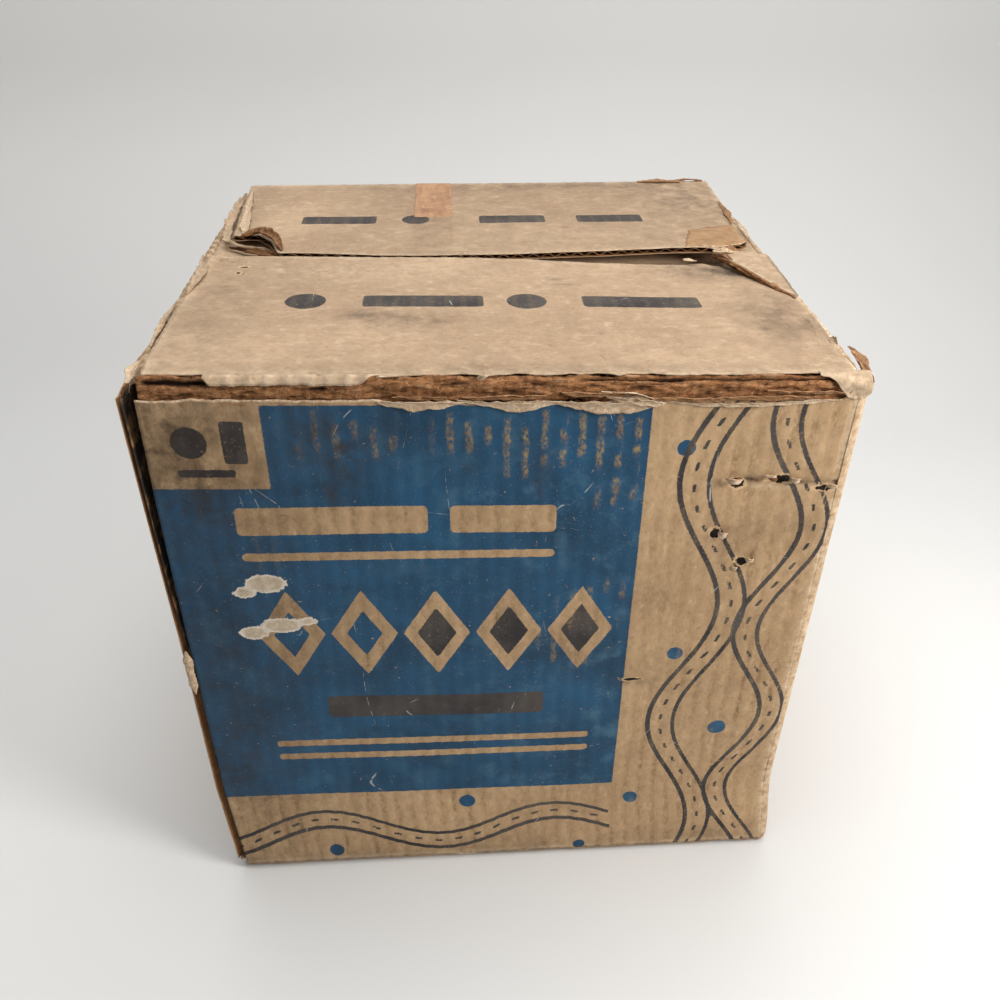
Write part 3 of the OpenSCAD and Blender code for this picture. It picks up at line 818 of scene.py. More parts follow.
def makeWall(side):
    look, (low, high) = wallLooks[side], wallSpan(side)
    board = {"node": look["name"] + "_wall", "body": "carton", "place": onWall, "side": side, "shape": wallShape(side),
             "relief": 0.09, "start": bend, "span": (low, high), "steps": (1.5, 2.6)}

    def edges(seed):
        right = lambda t: look["right"] - look["rough"] + look["rough"] * jagged(t, look["seed"] + seed)
        return level(bend), right, level(low), level(high)

    def outerValues(a, h):
        gap = np.minimum.reduce([h - low, high - h, a - bend, look["right"] - a])
        soiled = 0.16 * ease(0.5 + 0.8 * ripple(a, h, look["seed"] + 7, 70))
        return {"wear": 0.75 * ease(1 - gap / 4.0), "grime": soiled + 0.25 * ease(1 - (h - low) / 18)}

    def innerValues(a, h):  # painted shade: the inside is dark behind the split corner
        return {"grime": 1.6 * ease((a - 246) / 22)}

    name = look["name"] + "Wall"
    makePly(name + "Outer", "outer", board, edges(1), sideLiner, outerValues)
    makePly(name + "Medium", "medium", board, edges(2), tornMedium)
    makePly(name + "Inner", "inner", board, edges(3), innerLiner, innerValues if side == 3 else None)


for side in wallLooks:
    makeWall(side)
print("side and back walls made")


# Upright corners
def tightEnds(steps, edge=0.008):
    # 0 to 1 in equal steps, with one more point close to each end, so that the rim doesn't bend the shading of the face
    t = np.linspace(0, 1, steps)
    return np.concatenate([t[:1], [edge], t[1:-1], [1 - edge], t[-1:]])


def makeCorner(side, name, node, low):
    a = quarter * tightEnds(9)[None, :]
    h = np.linspace(low, minorTop - bend, 180)[:, None]
    a, h = a + 0 * h, h + 0 * a
    roundness = np.sin(np.pi * a / quarter)
    bumps = 0.35 * np.clip(ripple(a, h, side + 60, 34), -0.4, 2) + 0.25 * np.abs(jagged(h, side + 70))
    crush = roundness ** 3 * bumps
    if side == 1:  # flush with the front's liner, and tucked in at the foot
        crush = crush + 0.06 * ease(1 - a / 2.5) + 1.6 * ease((6 - h) / 5)
    values = {"wear": 0.8 + 0.15 * roundness * ripple(a, h, side + 90, 20),
              "grime": 0.22 * ease(ripple(a, h, side + 80, 50)) * roundness}
    finish(closedSheet(name, onCorner(side, a, crush, h), onCorner(side, a, carton["board"], h), pressedBoard, values),
           "carton", "pressed_board", node)


makeCorner(1, "frontRightCorner", "front_right_corner_crease", 1.2)
makeCorner(2, "backRightCorner", "back_right_corner_crease", minorFloor + bend)
makeCorner(3, "backLeftCorner", "back_left_corner_crease", minorFloor + bend)
print("upright corners made")


# Creases along the floor, from the slid foot of a wall to the flap under the carton
def makeFootCrease(side, name, start, end):
    a = np.linspace(start, end, int((end - start) / 1.2))[None, :]
    t = tightEnds(11)[:, None]
    a, t = a + 0 * t, t + 0 * a
    turn, roundness = t * np.pi / 2, np.sin(np.pi * t)
    bumps = 0.4 * np.clip(ripple(a, 20 * t, side + 170, 30), -0.3, 2) + 0.25 * np.abs(jagged(a, side + 171))
    middle = floorLevel(side) + bend
    faces = [onWall(side, a, bend - (bend - d) * np.cos(turn), middle - (bend - d) * np.sin(turn), 1 - t ** 2)
             for d in (roundness * bumps, carton["board"])]
    values = {"wear": 0.3 + 0.7 * roundness * ease(0.6 + 0.6 * ripple(a, 9 * t, side + 172, 24)), "soil": 0.35,
              "grime": 0.35 * ease(ripple(a, 9 * t, side + 173, 40)),
              "torn": 0.8 * ease(ripple(a, 12 * t, side + 174, 18) - 0.7)}
    finish(closedSheet(name + "FootCrease", *faces, pressedBoard, values),
           "carton", "outer_liner", name + "_bottom_crease")


makeFootCrease(0, "front", 3.6, 295.0)
makeFootCrease(1, "right", 5.0, 272.0)
makeFootCrease(3, "left", 5.0, 276.4)
print("foot creases made")

# Top flaps. The sag is where the front flap and those under it have dropped, the lift is the back flap's raised lip.
topShape = {"sag": 3.0, "sagAt": (92, 66), "lift": 2.4, "liftAt": (96, 62)}
unprinted = {"blueInk": noInk, "darkInk": noInk}


def sagAt(x, y):
    dip = ridge(x, *topShape["sagAt"]) * ease((146 - x) / 30)
    return topShape["sag"] * dip * ease((y + 85) / 75) * ease((34 - y) / 30)


def frontSeamEdge(a, seed=31, size=0.55):
    x = a - halfWide
    y = np.interp(x, [-150, -140, -128, -60, 20, 60, 100, 117], [-16, -3, 0.4, -0.6, -1.4, -3.5, -5.0, -3.0])
    tear = np.minimum(2.0 - (x - 117.5) * 2.05, -3.0)
    return np.where(x > 117.5, tear, y) + size * jagged(a, seed) + halfDeep


def frontFlapShape(a, h):
    x, y = a - halfWide, h - halfDeep
    along = (x - 117.5) / (147.2 - 117.5)
    pressed = 1.1 * ease(1 - (h - 5) / 12) * np.clip(0.25 - x / 110, 0, 1)  # the flap's edge at the crease
    dip = pressed + 1.9 * ridge(y, -1 - 58 * along, 13) * between(x, 108, 150, 8, 5)
    bow = -sagAt(x, y) - dip + 2.6 * spot(x, y, -143, -4, 7, 22)
    bow = bow + 0.18 * ripple(x, y, 91, 70) * ease((h - 5) / 20) * ease((x + 146) / 12)
    dent = hills(x, y, [(-123.5, -13.9, 2.6, 1.6, 0.8), (-124.5, -21.5, 1.6, 2.4, 0.9), (60, -40, 9, 2, 0.5)])
    toSeam = frontSeamEdge(a, size=0) - h
    return bow, dent, 0.4 * ease(1 - toSeam / 7) + 0.25 * ease(1 - (a - 5) / 9)


def frontFlapEdges(seed, inset):
    # Left, right, crease and seam, each ply's a little different
    left = lambda t: np.interp(t, [5, 20, 90, 118, 139], [5.8, 5.5, 5.8, 6.6, 8.5]) + 0.3 * jagged(t, 33 + seed)
    right = lambda t: np.interp(t, [5, 60, 84], [294.6, 294.9, 295.0]) + 0.24 * jagged(t, 35 + seed)
    return (lambda t: left(t) + inset, lambda t: right(t) - inset,
            lambda t: 5.0 + 0.9 * np.abs(jagged(t, 37 + seed)), lambda t: frontSeamEdge(t, 31 + seed) - inset)


def backSeamEdge(a, seed=51, size=0.5):
    y = np.interp(halfWide - a, [-140, -133, -124, -116, -110, -60, 0, 60, 105, 122, 134, 140],
                  [34, 27, 33, 24, 6.0, 2.6, 2.4, 3.6, 5.2, 5.5, 9, 16])
    return halfDeep - y + size * jagged(a, seed)


def backFlapShape(a, h):
    x, y = halfWide - a, halfDeep - h
    lift = topShape["lift"] * ridge(x, *topShape["liftAt"]) * ease((70 - y) / 62)
    curl = hills(x, y, [(-132, 24, 9, 14, 2.2), (132, 16, 12, 12, 1.6)])
    toSeam, toSide = backSeamEdge(a, size=0) - h, np.minimum(a - 6, 292 - a)
    return (lift + curl + 0.2 * ripple(x, y, 95, 70) * ease((h - 5) / 20), 0 * a,
            0.42 * ease(1 - toSeam / 7) + 0.3 * ease(1 - toSide / 8))


def backFlapEdges(seed, inset):
    # the left end of the back flap's grid is the carton's right side
    left = lambda t: np.interp(t, [5, 60, 110, 137], [5.0, 7.0, 11.5, 12.5]) + 0.5 * jagged(t, 53 + seed)
    right = lambda t: np.interp(t, [5, 40, 100, 137], [294.5, 292.5, 290.0, 287.0]) + 0.6 * jagged(t, 55 + seed)
    return (lambda t: left(t) + inset * 0.3, lambda t: right(t) - inset * 0.3,
            lambda t: 5.0 + 0.2 * np.abs(jagged(t, 57 + seed)), lambda t: backSeamEdge(t, 51 + seed) - inset)


def backFlapValues(x, y):
    # The old tape's stain, and at the right the patch where the outer ply was pulled off
    stain = ease((halfDeep - 5 - y) / 4) * (bar(x, y, -41, -19, 2, 70) > 0)
    side = 104 + 0.22 * (y - 6) + 2.2 * jagged(y, 58, (14, 6, 2.5))
    back = 34 + 0.42 * (x - 104) + 1.6 * jagged(x, 59, (9, 4, 1.8))
    patch = np.minimum(bar(x, y, side, 160, -10, 200), back - y)
    return {"grime": 0.16 * stain, "soil": 0.24 * ease((x + 120) / 60), "bare": np.clip(patch + pastEdge, 0, 12)}


# The flaps' marks are rows of soft hills, with more values added from a function. Insets are those of the three plies.
majorFlaps = {
    0: {"name": "front", "shape": frontFlapShape, "edges": frontFlapEdges, "values": lambda x, y: {"soil": 0.10},
        "insets": (0.0, 0.7, 0.3), "start": frontWall["start"], "length": 138.0,
        "marks": {
            # the darkening at (118, -16) is a painted shadow beside the torn corner
            "soil": [(-42, -82, 22, 9, 0.55), (-62, -74, 10, 6, 0.5), (132, -80, 24, 34, 0.5), (104, -14, 26, 12, 0.45),
                     (118, -16, 10, 9, 0.7), (0, -131, 150, 6, 0.3), (-130, -60, 16, 60, 0.3)],
            "grime": [(30, -30, 4, 2, 0.8), (34, -37, 5, 1.2, 0.6), (44, -96, 1.8, 1.2, 0.7), (118, -92, 1.5, 3, 0.6)],
            "hole": [(-123.5, -13.9, 2.6, 1.3, 1.1), (-125, -21.5, 1.3, 1.6, 1.1), (-122, -24, 1.6, 0.8, 1.0)],
            "wear": [(-60, -20, 60, 16, 0.35)]}},
    2: {"name": "back", "shape": backFlapShape, "edges": backFlapEdges, "values": backFlapValues,
        "insets": (0.0, -0.8, -2.0), "start": bend, "length": 137.0,
        "marks": {"soil": [(128, 90, 30, 40, 0.4), (-135, 70, 12, 50, 0.3), (40, 126, 120, 9, 0.3)],
                  "grime": [(44, 44, 2.4, 1.4, 0.7)]}},
}


def makeMajorFlap(side):
    look = majorFlaps[side]
    name = look["name"]
    board = {"node": name + "_top_flap", "body": name + "_flap", "place": onTopFlap, "side": side,
             "shape": look["shape"], "start": look["start"], "relief": 0.05, "span": (bend, look["length"]),
             "steps": (1.4, 1.4)}

    def outerValues(a, h):
        left, right, _, seam = look["edges"](0, 0.0)
        x, y = (a - halfWide, h - halfDeep) if side == 0 else (halfWide - a, halfDeep - h)
        toEdge = np.minimum.reduce([seam(a) - h, a - left(h), right(h) - a])
        values = {"wear": 0.5 * ease(1 - toEdge / 5) + 0.6 * ease(1 - (h - 5) / 6)}
        for key, rows in look["marks"].items():
            values[key] = values.get(key, 0) + hills(x, y, rows)
        for key, amount in look["values"](x, y).items():
            values[key] = values.get(key, 0) + amount
        return {**values, "soil": np.clip(values["soil"], 0, 1), "torn": np.clip(1 - toEdge / 0.9, 0, 1), "rub": 0.25,
                "blueInk": noInk, "darkInk": discsAndBars(x, y, topPrint[name], 2.0)}

    def seamShade(a, h):  # painted shade: the back flap's medium is dark where it shows down in the seam
        return {"grime": 1.3 * ease(1 - (look["edges"](3, look["insets"][1])[3](a) - h) / 6)}

    for layer, seed, inset, materials, valuesOf in zip(
            parts, (0, 3, 5), look["insets"],
            (topLiner, tornMedium, (mediumKraft, innerKraft, peeledPly)),
            (outerValues, seamShade if side == 2 else None, None)):
        makePly(name + "Flap" + layer.capitalize(), layer, board, look["edges"](seed, inset), materials, valuesOf)


def makeMinorFlap(side, name):
    # The flap under the major ones. It sags with the front flap that lies on it, and the right one is crushed there.
    def shape(a, h):
        x, y = (halfWide - h, a - halfDeep) if side == 1 else (h - halfWide, halfDeep - a)
        crushed = 0.78 * ease(1 - (h - 5) / 60) * np.clip((halfDeep - y) / 200, 0.15, 1) if side == 1 else 0
        return -sagAt(x, y), 0 * a, crushed

    def outerValues(a, h):
        y = a - halfDeep if side == 1 else halfDeep - a
        # darker near the crease, and dark under the seam of the major flaps, with dirt and painted shade
        return {**unprinted, "wear": 0.7 * ease(1 - (h - 5) / 5),
                "grime": 0.35 * ease(1 - (h - 5) / 9) + 1.2 * ease(1 - np.abs(y - 1) / 8)}

    reach = 136.75
    board = {"node": name + "_top_flap", "body": name + "_flap", "place": onTopFlap, "side": side, "shape": shape,
             "start": bend, "relief": 0.07, "span": (bend, reach), "steps": (1.6, 2.4)}
    edges = (level(6.0), level(carton["depth"] - 6.0), level(bend), lambda t: reach + 0.15 * jagged(t, side + 65))
    makePly(name + "FlapOuter", "outer", board, edges, (topKraft, mediumKraft, mediumKraft), outerValues)
    makePly(name + "FlapMedium", "medium", board, edges, medium)
    makePly(name + "FlapInner", "inner", board, edges, innerLiner)


makeMajorFlap(0)
makeMajorFlap(2)
makeMinorFlap(1, "right")
makeMinorFlap(3, "left")
print("top flaps made")


# Creases along the top. Most are given the two ends of their bend, from the carton to the flap's own body, and are left
# where they stand.
def hingePair(side, flap):
    # Where the bending starts and ends: the top of the wall and the start of the flap
    inward = Vector([(0, 1, 0), (-1, 0, 0), (0, -1, 0), (1, 0, 0)][side])
    edge = -(halfDeep if side % 2 == 0 else halfWide) / 1000 * inward + Vector((0, 0, topLevel(side) / 1000))
    down, along = Vector((0, 0, -bend / 1000)), bend / 1000 * inward
    return "carton", flap, tuple(edge + down), tuple(edge + along)


def creaseSheet(name, side, body, span, reach, depth, thick, materials, spacing, values=None, *stands):
    # A strip along a top crease. span: from and to along it, reach: from and to round it, each a function of the other.
    a0, a1 = span
    s0, s1 = reach
    ends = np.array(span)
    rows = max(4, int((np.max(s1(ends)) - np.min(s0(ends))) / spacing[1]))
    a = np.linspace(a0, a1, max(4, int((a1 - a0) / spacing[0])))[None, :] + np.zeros((rows, 1))
    s = s0(a) + (s1(a) - s0(a)) * np.linspace(0, 1, rows)[:, None]
    d = depth(a, s)
    piece = closedSheet(name, onTopCrease(side, a, d, s), onTopCrease(side, a, d + thick, s), materials,
                        values(a, s) if values else None)
    finish(piece, body, "outer_liner", *stands)


def innerCrease(name, side, flap, span):
    creaseSheet(name, side, hingePair(side, flap), span, (level(0), level(7.9)), lambda a, s: 3.7 + 0 * a, 0.3,
                innerLiner, (4, 1.2))


# The front top crease, where the flap's liner is torn off. Along it: a hole, a rolled lip, a long tear, a bent lip.
frontEdge = {
    "hole": (5, 33), "holeAt": 2.5, "holeDepth": 2.4, "bandDepth": 1.2, "bandRough": 0.95,
    "groove": (176, 291), "grooveAt": 4.6, "grooveDepth": 2.3,
}


def bandDepth(a, s):
    # Torn medium: uneven ground, with a hole near the left end and a long split to the right
    look = frontEdge
    rough = 0.55 * ripple(a, s * 4, 101, 16) + 0.35 * ripple(a, s * 3, 102, 5.0)
    rough = rough + 0.3 * jagged(a + 9 * s, 103, (2.3, 1.1), (0.6, 0.4))
    hole = between(a, *look["hole"], 4, 3) * ridge(s, look["holeAt"] + 0.8 * jagged(a, 104), 2.2)
    groove = between(a, *look["groove"], 14, 10)
    line = look["grooveAt"] + 1.3 * jagged(a, 105, (42, 14, 5), tornSizes)
    depth = look["bandDepth"] + look["bandRough"] * rough + look["holeDepth"] * hole
    depth = depth + look["grooveDepth"] * groove * ridge(s, line, 0.62) - 0.55 * groove * ridge(s, line + 1.6, 0.8)
    return np.clip(depth + 1.0 * ease((s - 7.2) / 1.4) + 1.2 * ease((-5.6 - s) / 1.2), -0.5, 3.3)


# painted shade: the deeper the torn medium lies, the darker it is
def bandValues(a, s):
    depth = bandDepth(a, s)
    return {"deep": np.clip((depth - 1.35) / 1.3, 0, 1), "pale": np.clip(0.25 - depth * 0.5, 0, 0.6)}


def lipValues(tornFrom, tornOver, wear):
    return lambda a, s: {**unprinted, "wear": wear, "soil": 0.25, "torn": ease(1 - (s - tornFrom) / tornOver)}


def makeFrontEdge():
    creaseSheet("frontEdgeBand", 0, hingePair(0, "front_flap"), (5.0, 292), (level(-8.5), level(9.5)), bandDepth, 0.45,
                raw, (0.75, 0.6), bandValues, "front_top_crease")
    innerCrease("frontEdgeInner", 0, "front_flap", (7.4, 298))
    crest = lambda a: np.sin(2 * np.pi * (a - frontWall["start"]) / pitch)
    pressed = lambda a: np.clip(0.25 - (a - halfWide) / 110, 0, 1)

    # the lip: the flap's own liner, pressed over the edge with the flutes standing through it
    def lipDepth(a, s):
        depth = ease((s - 5) / 3) * pressed(a) - 0.15 + 0.32 * crest(a) * ease((8.4 - s) / 4)
        return depth + 0.15 * ripple(a, s * 3, 111, 12) + 0.3 * ease((s - 7.0) / 1.4)

    edge = lambda a: 1.5 + 0.7 * jagged(a, 112) + 3.2 * ease((34 - a) / 4) + 4.5 * ease((a - 90) / 9)
    creaseSheet("rolledLip", 0, "front_flap", (30.5, 99.5), (edge, level(8.8)), lipDepth, 0.35, topLiner, (0.7, 0.5),
                lambda a, s: {**lipValues(1.2, 1.1, 0.75 - 0.25 * crest(a))(a, s),
                              "grime": 0.25 * ease(1 - (s - 1) / 1.6)})
    # what is left of the flap's liner over the tear: a ragged lip at the flap's edge
    edge = lambda a: 6.6 + 1.3 * jagged(a, 113, (13, 5, 1.9), tornSizes) - 1.6 * ease((130 - a) / 26)
    creaseSheet("ragLip", 0, "front_flap", (98, 286), (edge, level(9.0)),
                lambda a, s: pressed(a) - 0.12 + 0.2 * ripple(a, s * 3, 114, 14) * ease((8.6 - s) / 2)
                + 0.3 * ease((s - 7.4) / 1.4), 0.3, topLiner, (0.8, 0.5), lipValues(5.5, 1.6, 0.6))
    # the bent lip: pale paper folded down over the right end
    creaseSheet("bentLip", 0, "front_flap", (278, 299.6),
                (lambda a: 5.6 - 10.5 * ease((a - 279) / 14) + 1.1 * jagged(a, 115, (5, 2, 1), tornSizes)
                 + 2.5 * ease((a - 297) / 3), level(9.4)),
                lambda a, s: -0.4 - 0.3 * ripple(a, s * 3, 116, 11) + 0.55 * ease((s - 7.0) / 2), 0.35,
                frayedLiner, (0.5, 0.5), lipValues(-4, 2, 0.9))


def makeSideCrease(side, name):
    # The crease of the back or of a minor flap: pale and worn, with the flute ends standing through the paper
    flap, inset = name + "_flap", 6.0 if side % 2 else 5.2
    span = inset, (carton["depth"] if side % 2 else carton["width"]) - inset
    wave = lambda a: np.sin(2 * np.pi * (a - bend) / pitch)

    def depth(a, s):
        roundness = np.sin(np.pi * np.clip(s / 7.85, 0, 1))  # 7.85 mm is the way round the bend
        bumps = 0.3 * wave(a) + 0.25 * np.clip(ripple(a, s * 3, side + 120, 20), -0.6, 1.6)
        return 0.05 + 0.5 * ease((s - 4) / 3) + bumps * roundness

    def values(a, s):
        # paler on the flute crests, where they are worn, and darker in the hollows between them, with dirt and painted
        # shade
        return {"wear": 0.55 + 0.45 * np.clip(-wave(a), -0.6, 1), "grime": 0.25 * ease(wave(a)), "soil": 0.3,
                "torn": 0.65 * ease(ripple(a, s * 2, side + 130, 26) - 0.4)}

    # the right one's outer ply stays with the carton, clear of the front flap beside it when the right flap drops
    creaseSheet(name + "CreaseOuter", side, "carton" if side == 1 else hingePair(side, flap), span,
                (level(-0.4), level(8.3)), depth, 0.35, (sideKraft, mediumKraft, peeledPly), (0.75, 0.7), values,
                name + "_top_crease")
    innerCrease(name + "CreaseInner", side, flap, span)


makeFrontEdge()
makeSideCrease(1, "right")
makeSideCrease(3, "left")
makeSideCrease(2, "back")
print("top creases made")

# The torn corner of the front flap. It stands above the dipped flap, its torn edge brown and thick.
tornCorner = {"tip": (117.6, -1.0), "foot": (144.6, -54.0), "back": 0.6, "right": 145.1, "lift": 2.2}


def makeTornCorner():
    (tipX, _), (footX, footY), reach = tornCorner["tip"], tornCorner["foot"], tornCorner["back"] - tornCorner["foot"][1]
    v, u = np.linspace(0, 1, 90)[:, None], np.linspace(0, 1, 46)[None, :]
    y = footY + reach * v + 0 * u
    edge = footX + (tipX - footX) * v + 0.7 * jagged(y, 141, (9, 4, 1.5), tornSizes) * (v > 0.03)
    right = tornCorner["right"] + 0.3 * jagged(y, 142)
    x = edge + (right - edge) * u
    y = y + 0.9 * jagged(x, 143, (8, 3, 1.2), tornSizes) * ease((v - 0.9) / 0.1)
    lift = tornCorner["lift"] * v ** 0.6 * ease((150 - x) / 24) + 0.15 * ripple(x, y, 144, 30)
    top = tall + lift - 0.5 * ease(1 - (x - edge) / 9)
    toEdge = np.minimum(x - edge, (1 - v) * 60)
    values = {**unprinted, "wear": 0.4 * ease(1 - toEdge / 4) + 0.3, "torn": np.clip(1 - toEdge, 0, 1), "soil": 0.2}
    finish(closedSheet("tornCornerLiner", stack(x, y, top), stack(x, y, top - carton["outerLiner"]),
                       topLiner, values), "front_flap", "outer_liner", "front_flap_torn_corner")
    # the torn medium under it stands out past the liner in tufts, its lower part darkened with painted shade
    t, q = np.linspace(0, 1, 150)[None, :], np.linspace(0, 1, 10)[:, None]
    y = footY + reach * t + 0 * q
    out = 0.9 + 0.55 * ripple(y * 2, q * 30, 145, 12) + 0.5 * jagged(y + 11 * q, 146, (2.0, 0.9), (0.6, 0.4))
    x = footX + (tipX - footX) * t - out * np.sin(np.pi * (0.15 + 0.8 * q)) * 1.1
    z = tall + tornCorner["lift"] * t ** 0.6 * ease((150 - x) / 24) - 0.8 - 3.0 * q
    inner = stack(x + 5 * (0.1 + 0.9 * t), y + 1.2 * t, z)
    values = {"deep": 0.75 * ease((q - 0.5) / 0.5), "pale": 0.2 * ease((0.3 - q) / 0.3)}
    finish(closedSheet("tornCornerMedium", stack(x, y, z), inner, raw, values), "front_flap", "flutes")


# Tapes
def makeOldCellophane():
    x, v = np.linspace(-41, -19, 34)[None, :], np.linspace(0, 1, 90)[:, None]
    end = 66 + 1.6 * jagged(x, 151, (6, 2.2, 0.9), tornSizes)
    y = 134.2 + (end - 134.2) * v
    x = x + 0.35 * jagged(y, 152, (6, 2), (0.5, 0.5)) * np.sign(x + 30) * (np.abs(x + 30) > 10.6)
    bow, _, press = backFlapShape(halfWide - x, halfDeep - y)
    top = tall + bow * (1 - press) + 0.10 + 0.04 * ripple(x, y, 153, 9)
    finish(closedSheet("oldCellophane", stack(x, y, top), stack(x, y, top - 0.1), (oldCellophane,) * 3),
           "back_flap", "old_tape", "old_tape")


def makeTapeTail(side, name):
    edges = (level(100.5), level(176.5), level(9.45), lambda t: 64 + 0.8 * jagged(t, side + 160))
    a, h = gridOf(edges, (9.45, 64.5), 60, 60)
    bow, dent, _ = wallShape(side)(a, h)
    face = dent - bow
    faces = [onWall(side, a, d, h) for d in (face - 0.16 - 0.05 * ripple(a, h, side + 161, 16), face + 0.02)]
    finish(closedSheet(name + "TapeTail", *faces, (gummedPaper,) * 3), "carton", "gummed_tape", name + "_tape_tail")


makeTornCorner()
makeOldCellophane()
makeTapeTail(1, "right")
makeTapeTail(3, "left")


# Shreds: thin torn strips of paper along a path
def shred(name, path, across, widths, materials, body, seed, curl, ragged, slotName="outer_liner", thick=0.3,
          values=None):
    path, widths = np.array(path, float), np.array(widths, float)
    across = np.broadcast_to(np.array(across, float), path.shape)
    run = np.concatenate([[0], np.cumsum(np.linalg.norm(np.diff(path, axis=0), axis=1))])
    at = np.linspace(0, run[-1], max(8, int(run[-1] / 0.6)))
    alongRun = lambda points: np.stack([np.interp(at, run, points[:, k]) for k in range(3)], -1)
    line, side = alongRun(path), alongRun(across)
    line[3:-3] = np.stack([np.convolve(line[:, k], np.ones(7) / 7, "valid") for k in range(3)], -1)
    side /= np.linalg.norm(side, axis=1, keepdims=True)
    normal = np.cross(np.gradient(line, axis=0), side)
    normal /= np.linalg.norm(normal, axis=1, keepdims=True) + 1e-9
    u = np.linspace(-0.5, 0.5, 9)[None, :]
    wide = np.interp(at, run, widths)[:, None]
    lean = ragged * (jagged(at, seed + 200, (3.1, 1.3, 0.7), tornSizes)[:, None] * (u > 0.2)
                     + jagged(at, seed + 230, (3.5, 1.5, 0.7), tornSizes)[:, None] * (u < -0.2))
    shift = u * wide + lean * np.clip(wide / 3, 0, 1)
    lift = curl * (2 * u) ** 2 * wide / 2 + 0.22 * ripple(at[:, None], u * 12, seed + 260, 7)
    points = line[:, None] + side[:, None] * shift[..., None] + normal[:, None] * lift[..., None]
    faces = [stack(*np.moveaxis(p, -1, 0)) for p in (points, points - normal[:, None] * thick)]
    return finish(closedSheet(name, *faces, materials, values), body, slotName)


frontY = -halfDeep
up, right = (0, -0.5, 1), (1, 0, 0)


def alongFront(points):  # points on the front face, given as x, z and how far each stands out
    return [(x, frontY - out, z) for x, z, out in points]


def makeFrontShreds():
    # frayed liner that hangs over the top of the front
    for k, (points, widths) in enumerate([
            ([(-52, 290.5, 0.3), (-46, 290, 0.8), (-38, 289.2, 1.0), (-27, 289.5, 0.8), (-16, 290.2, 0.4)],
             (0.4, 3.4, 4.2, 3.2, 0.4)),
            ([(-20, 291.0, 0.4), (-8, 290, 0.9), (4, 289.0, 1.2), (12, 289.4, 1.0), (22, 290.6, 0.4)],
             (0.4, 2.6, 4.6, 3.6, 0.5)),
            ([(14, 290.8, 0.3), (26, 289.6, 0.9), (38, 288.6, 1.3), (50, 288.9, 1.1), (63, 290.5, 0.6)],
             (0.5, 3.0, 5.6, 6.0, 1.6)),
            ([(40, 293.2, 1.2), (48, 292.0, 2.0), (58, 290.6, 1.6), (64, 289.6, 0.9)], (0.6, 2.6, 3.4, 1.2)),
            ([(66, 290.0, 0.3), (84, 289.0, 0.7), (104, 289.2, 0.8), (124, 290.2, 0.5), (138, 291.0, 0.2)],
             (0.4, 1.8, 2.0, 1.6, 0.3))]):
        shred("hang" + "ABCDE"[k], alongFront(points), (0, -0.25, 1), widths, felt, "carton", k + 1, 0.5, 1.0)
    # tufts of torn medium between the two liners: from and to across, height, how far out, width
    for k, (x0, x1, z, out, wide) in enumerate([
            (-46, -24, 292.2, -0.2, 2.0), (-18, 16, 292.6, 0.3, 2.6), (22, 52, 294.2, 0.9, 2.8),
            (58, 92, 292.2, 0.5, 2.2), (88, 128, 292.6, 0.7, 2.6), (-114, -98, 289.8, -0.3, 1.4),
            (-144, -122, 290.0, -0.8, 1.0), (106, 138, 294.6, 0.2, 1.4)]):
        path = [(x, z + float(jagged(np.array(x), 300 + k)), out) for x in np.linspace(x0, x1, 7)]
        widths = (0.4, wide, 0.7 * wide, 1.2 * wide, 0.8 * wide, wide, 0.4)
        shred(f"tuft{k}", alongFront(path), up, widths, raw, "carton", 310 + k, 0.7, 1.2, "flutes", 0.35,
              {"pale": 0.15})
    # two peaks of liner that stand up from the tear
    shred("peakA", alongFront([(-10, 299.6, -1), (-9.4, 301.6, 0.6), (-8.6, 302.6, 0.8)]), right, (5.0, 3.4, 0.8),
          felt, "front_flap", 21, 0.4, 0.8)
    shred("peakB", alongFront([(38, 294.6, 0.1), (46, 294.6, 1.0), (54, 293.4, 0.8), (60, 291.6, 0.5)]), up,
          (0.6, 3.6, 4.4, 0.6), frayedLiner, "carton", 22, 0.5, 1.0, values={**unprinted, "wear": 0.5})
    # liner torn up round the holes in the front: middle, width, height, how far out
    for k, (x, z, wide, height, lift) in enumerate([
            (98.6, 252.6, 8.0, 4.4, 2.4), (125.4, 252.4, 5.0, 4.0, 2.4), (114, 253.8, 6.0, 1.8, 1.0),
            (97.4, 223.6, 3.6, 5.6, 2.4), (112, 208.6, 4.4, 4.0, 2.4), (105.6, 203.4, 3.6, 2.4, 1.2),
            (143, 248.4, 5.0, 3.0, 1.6)]):
        path = [(x - wide / 2, z, 0.1), (x - wide / 6, z + 0.5, lift), (x + wide / 4, z, lift * 0.8),
                (x + wide / 2, z - 0.5, 0.2)]
        widths = (0.5, height, height * 0.8, 0.4)
        shred(f"liftedLiner{k}", alongFront(path), up, widths, felt, "carton", 30 + k, 0.6, 0.8)
    # the whitish scrap of joint tape, on the raw edge of the left wall
    edgeX = -halfWide - float(leftBow(145.0))
    path = alongFront([(edgeX + 1.6, 131, 0.1), (edgeX + 1.9, 138, 0.8), (edgeX + 1.5, 147, 0.5),
                       (edgeX + 2.0, 154, 0.9), (edgeX + 1.7, 159, 0.1)])
    scrap = shred("jointTapeScrap", path, right, (0.8, 4.0, 3.2, 4.4, 0.8), felt, "carton", 50, 0.4, 0.9, "gummed_tape")
    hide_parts("joint_tape_scrap")


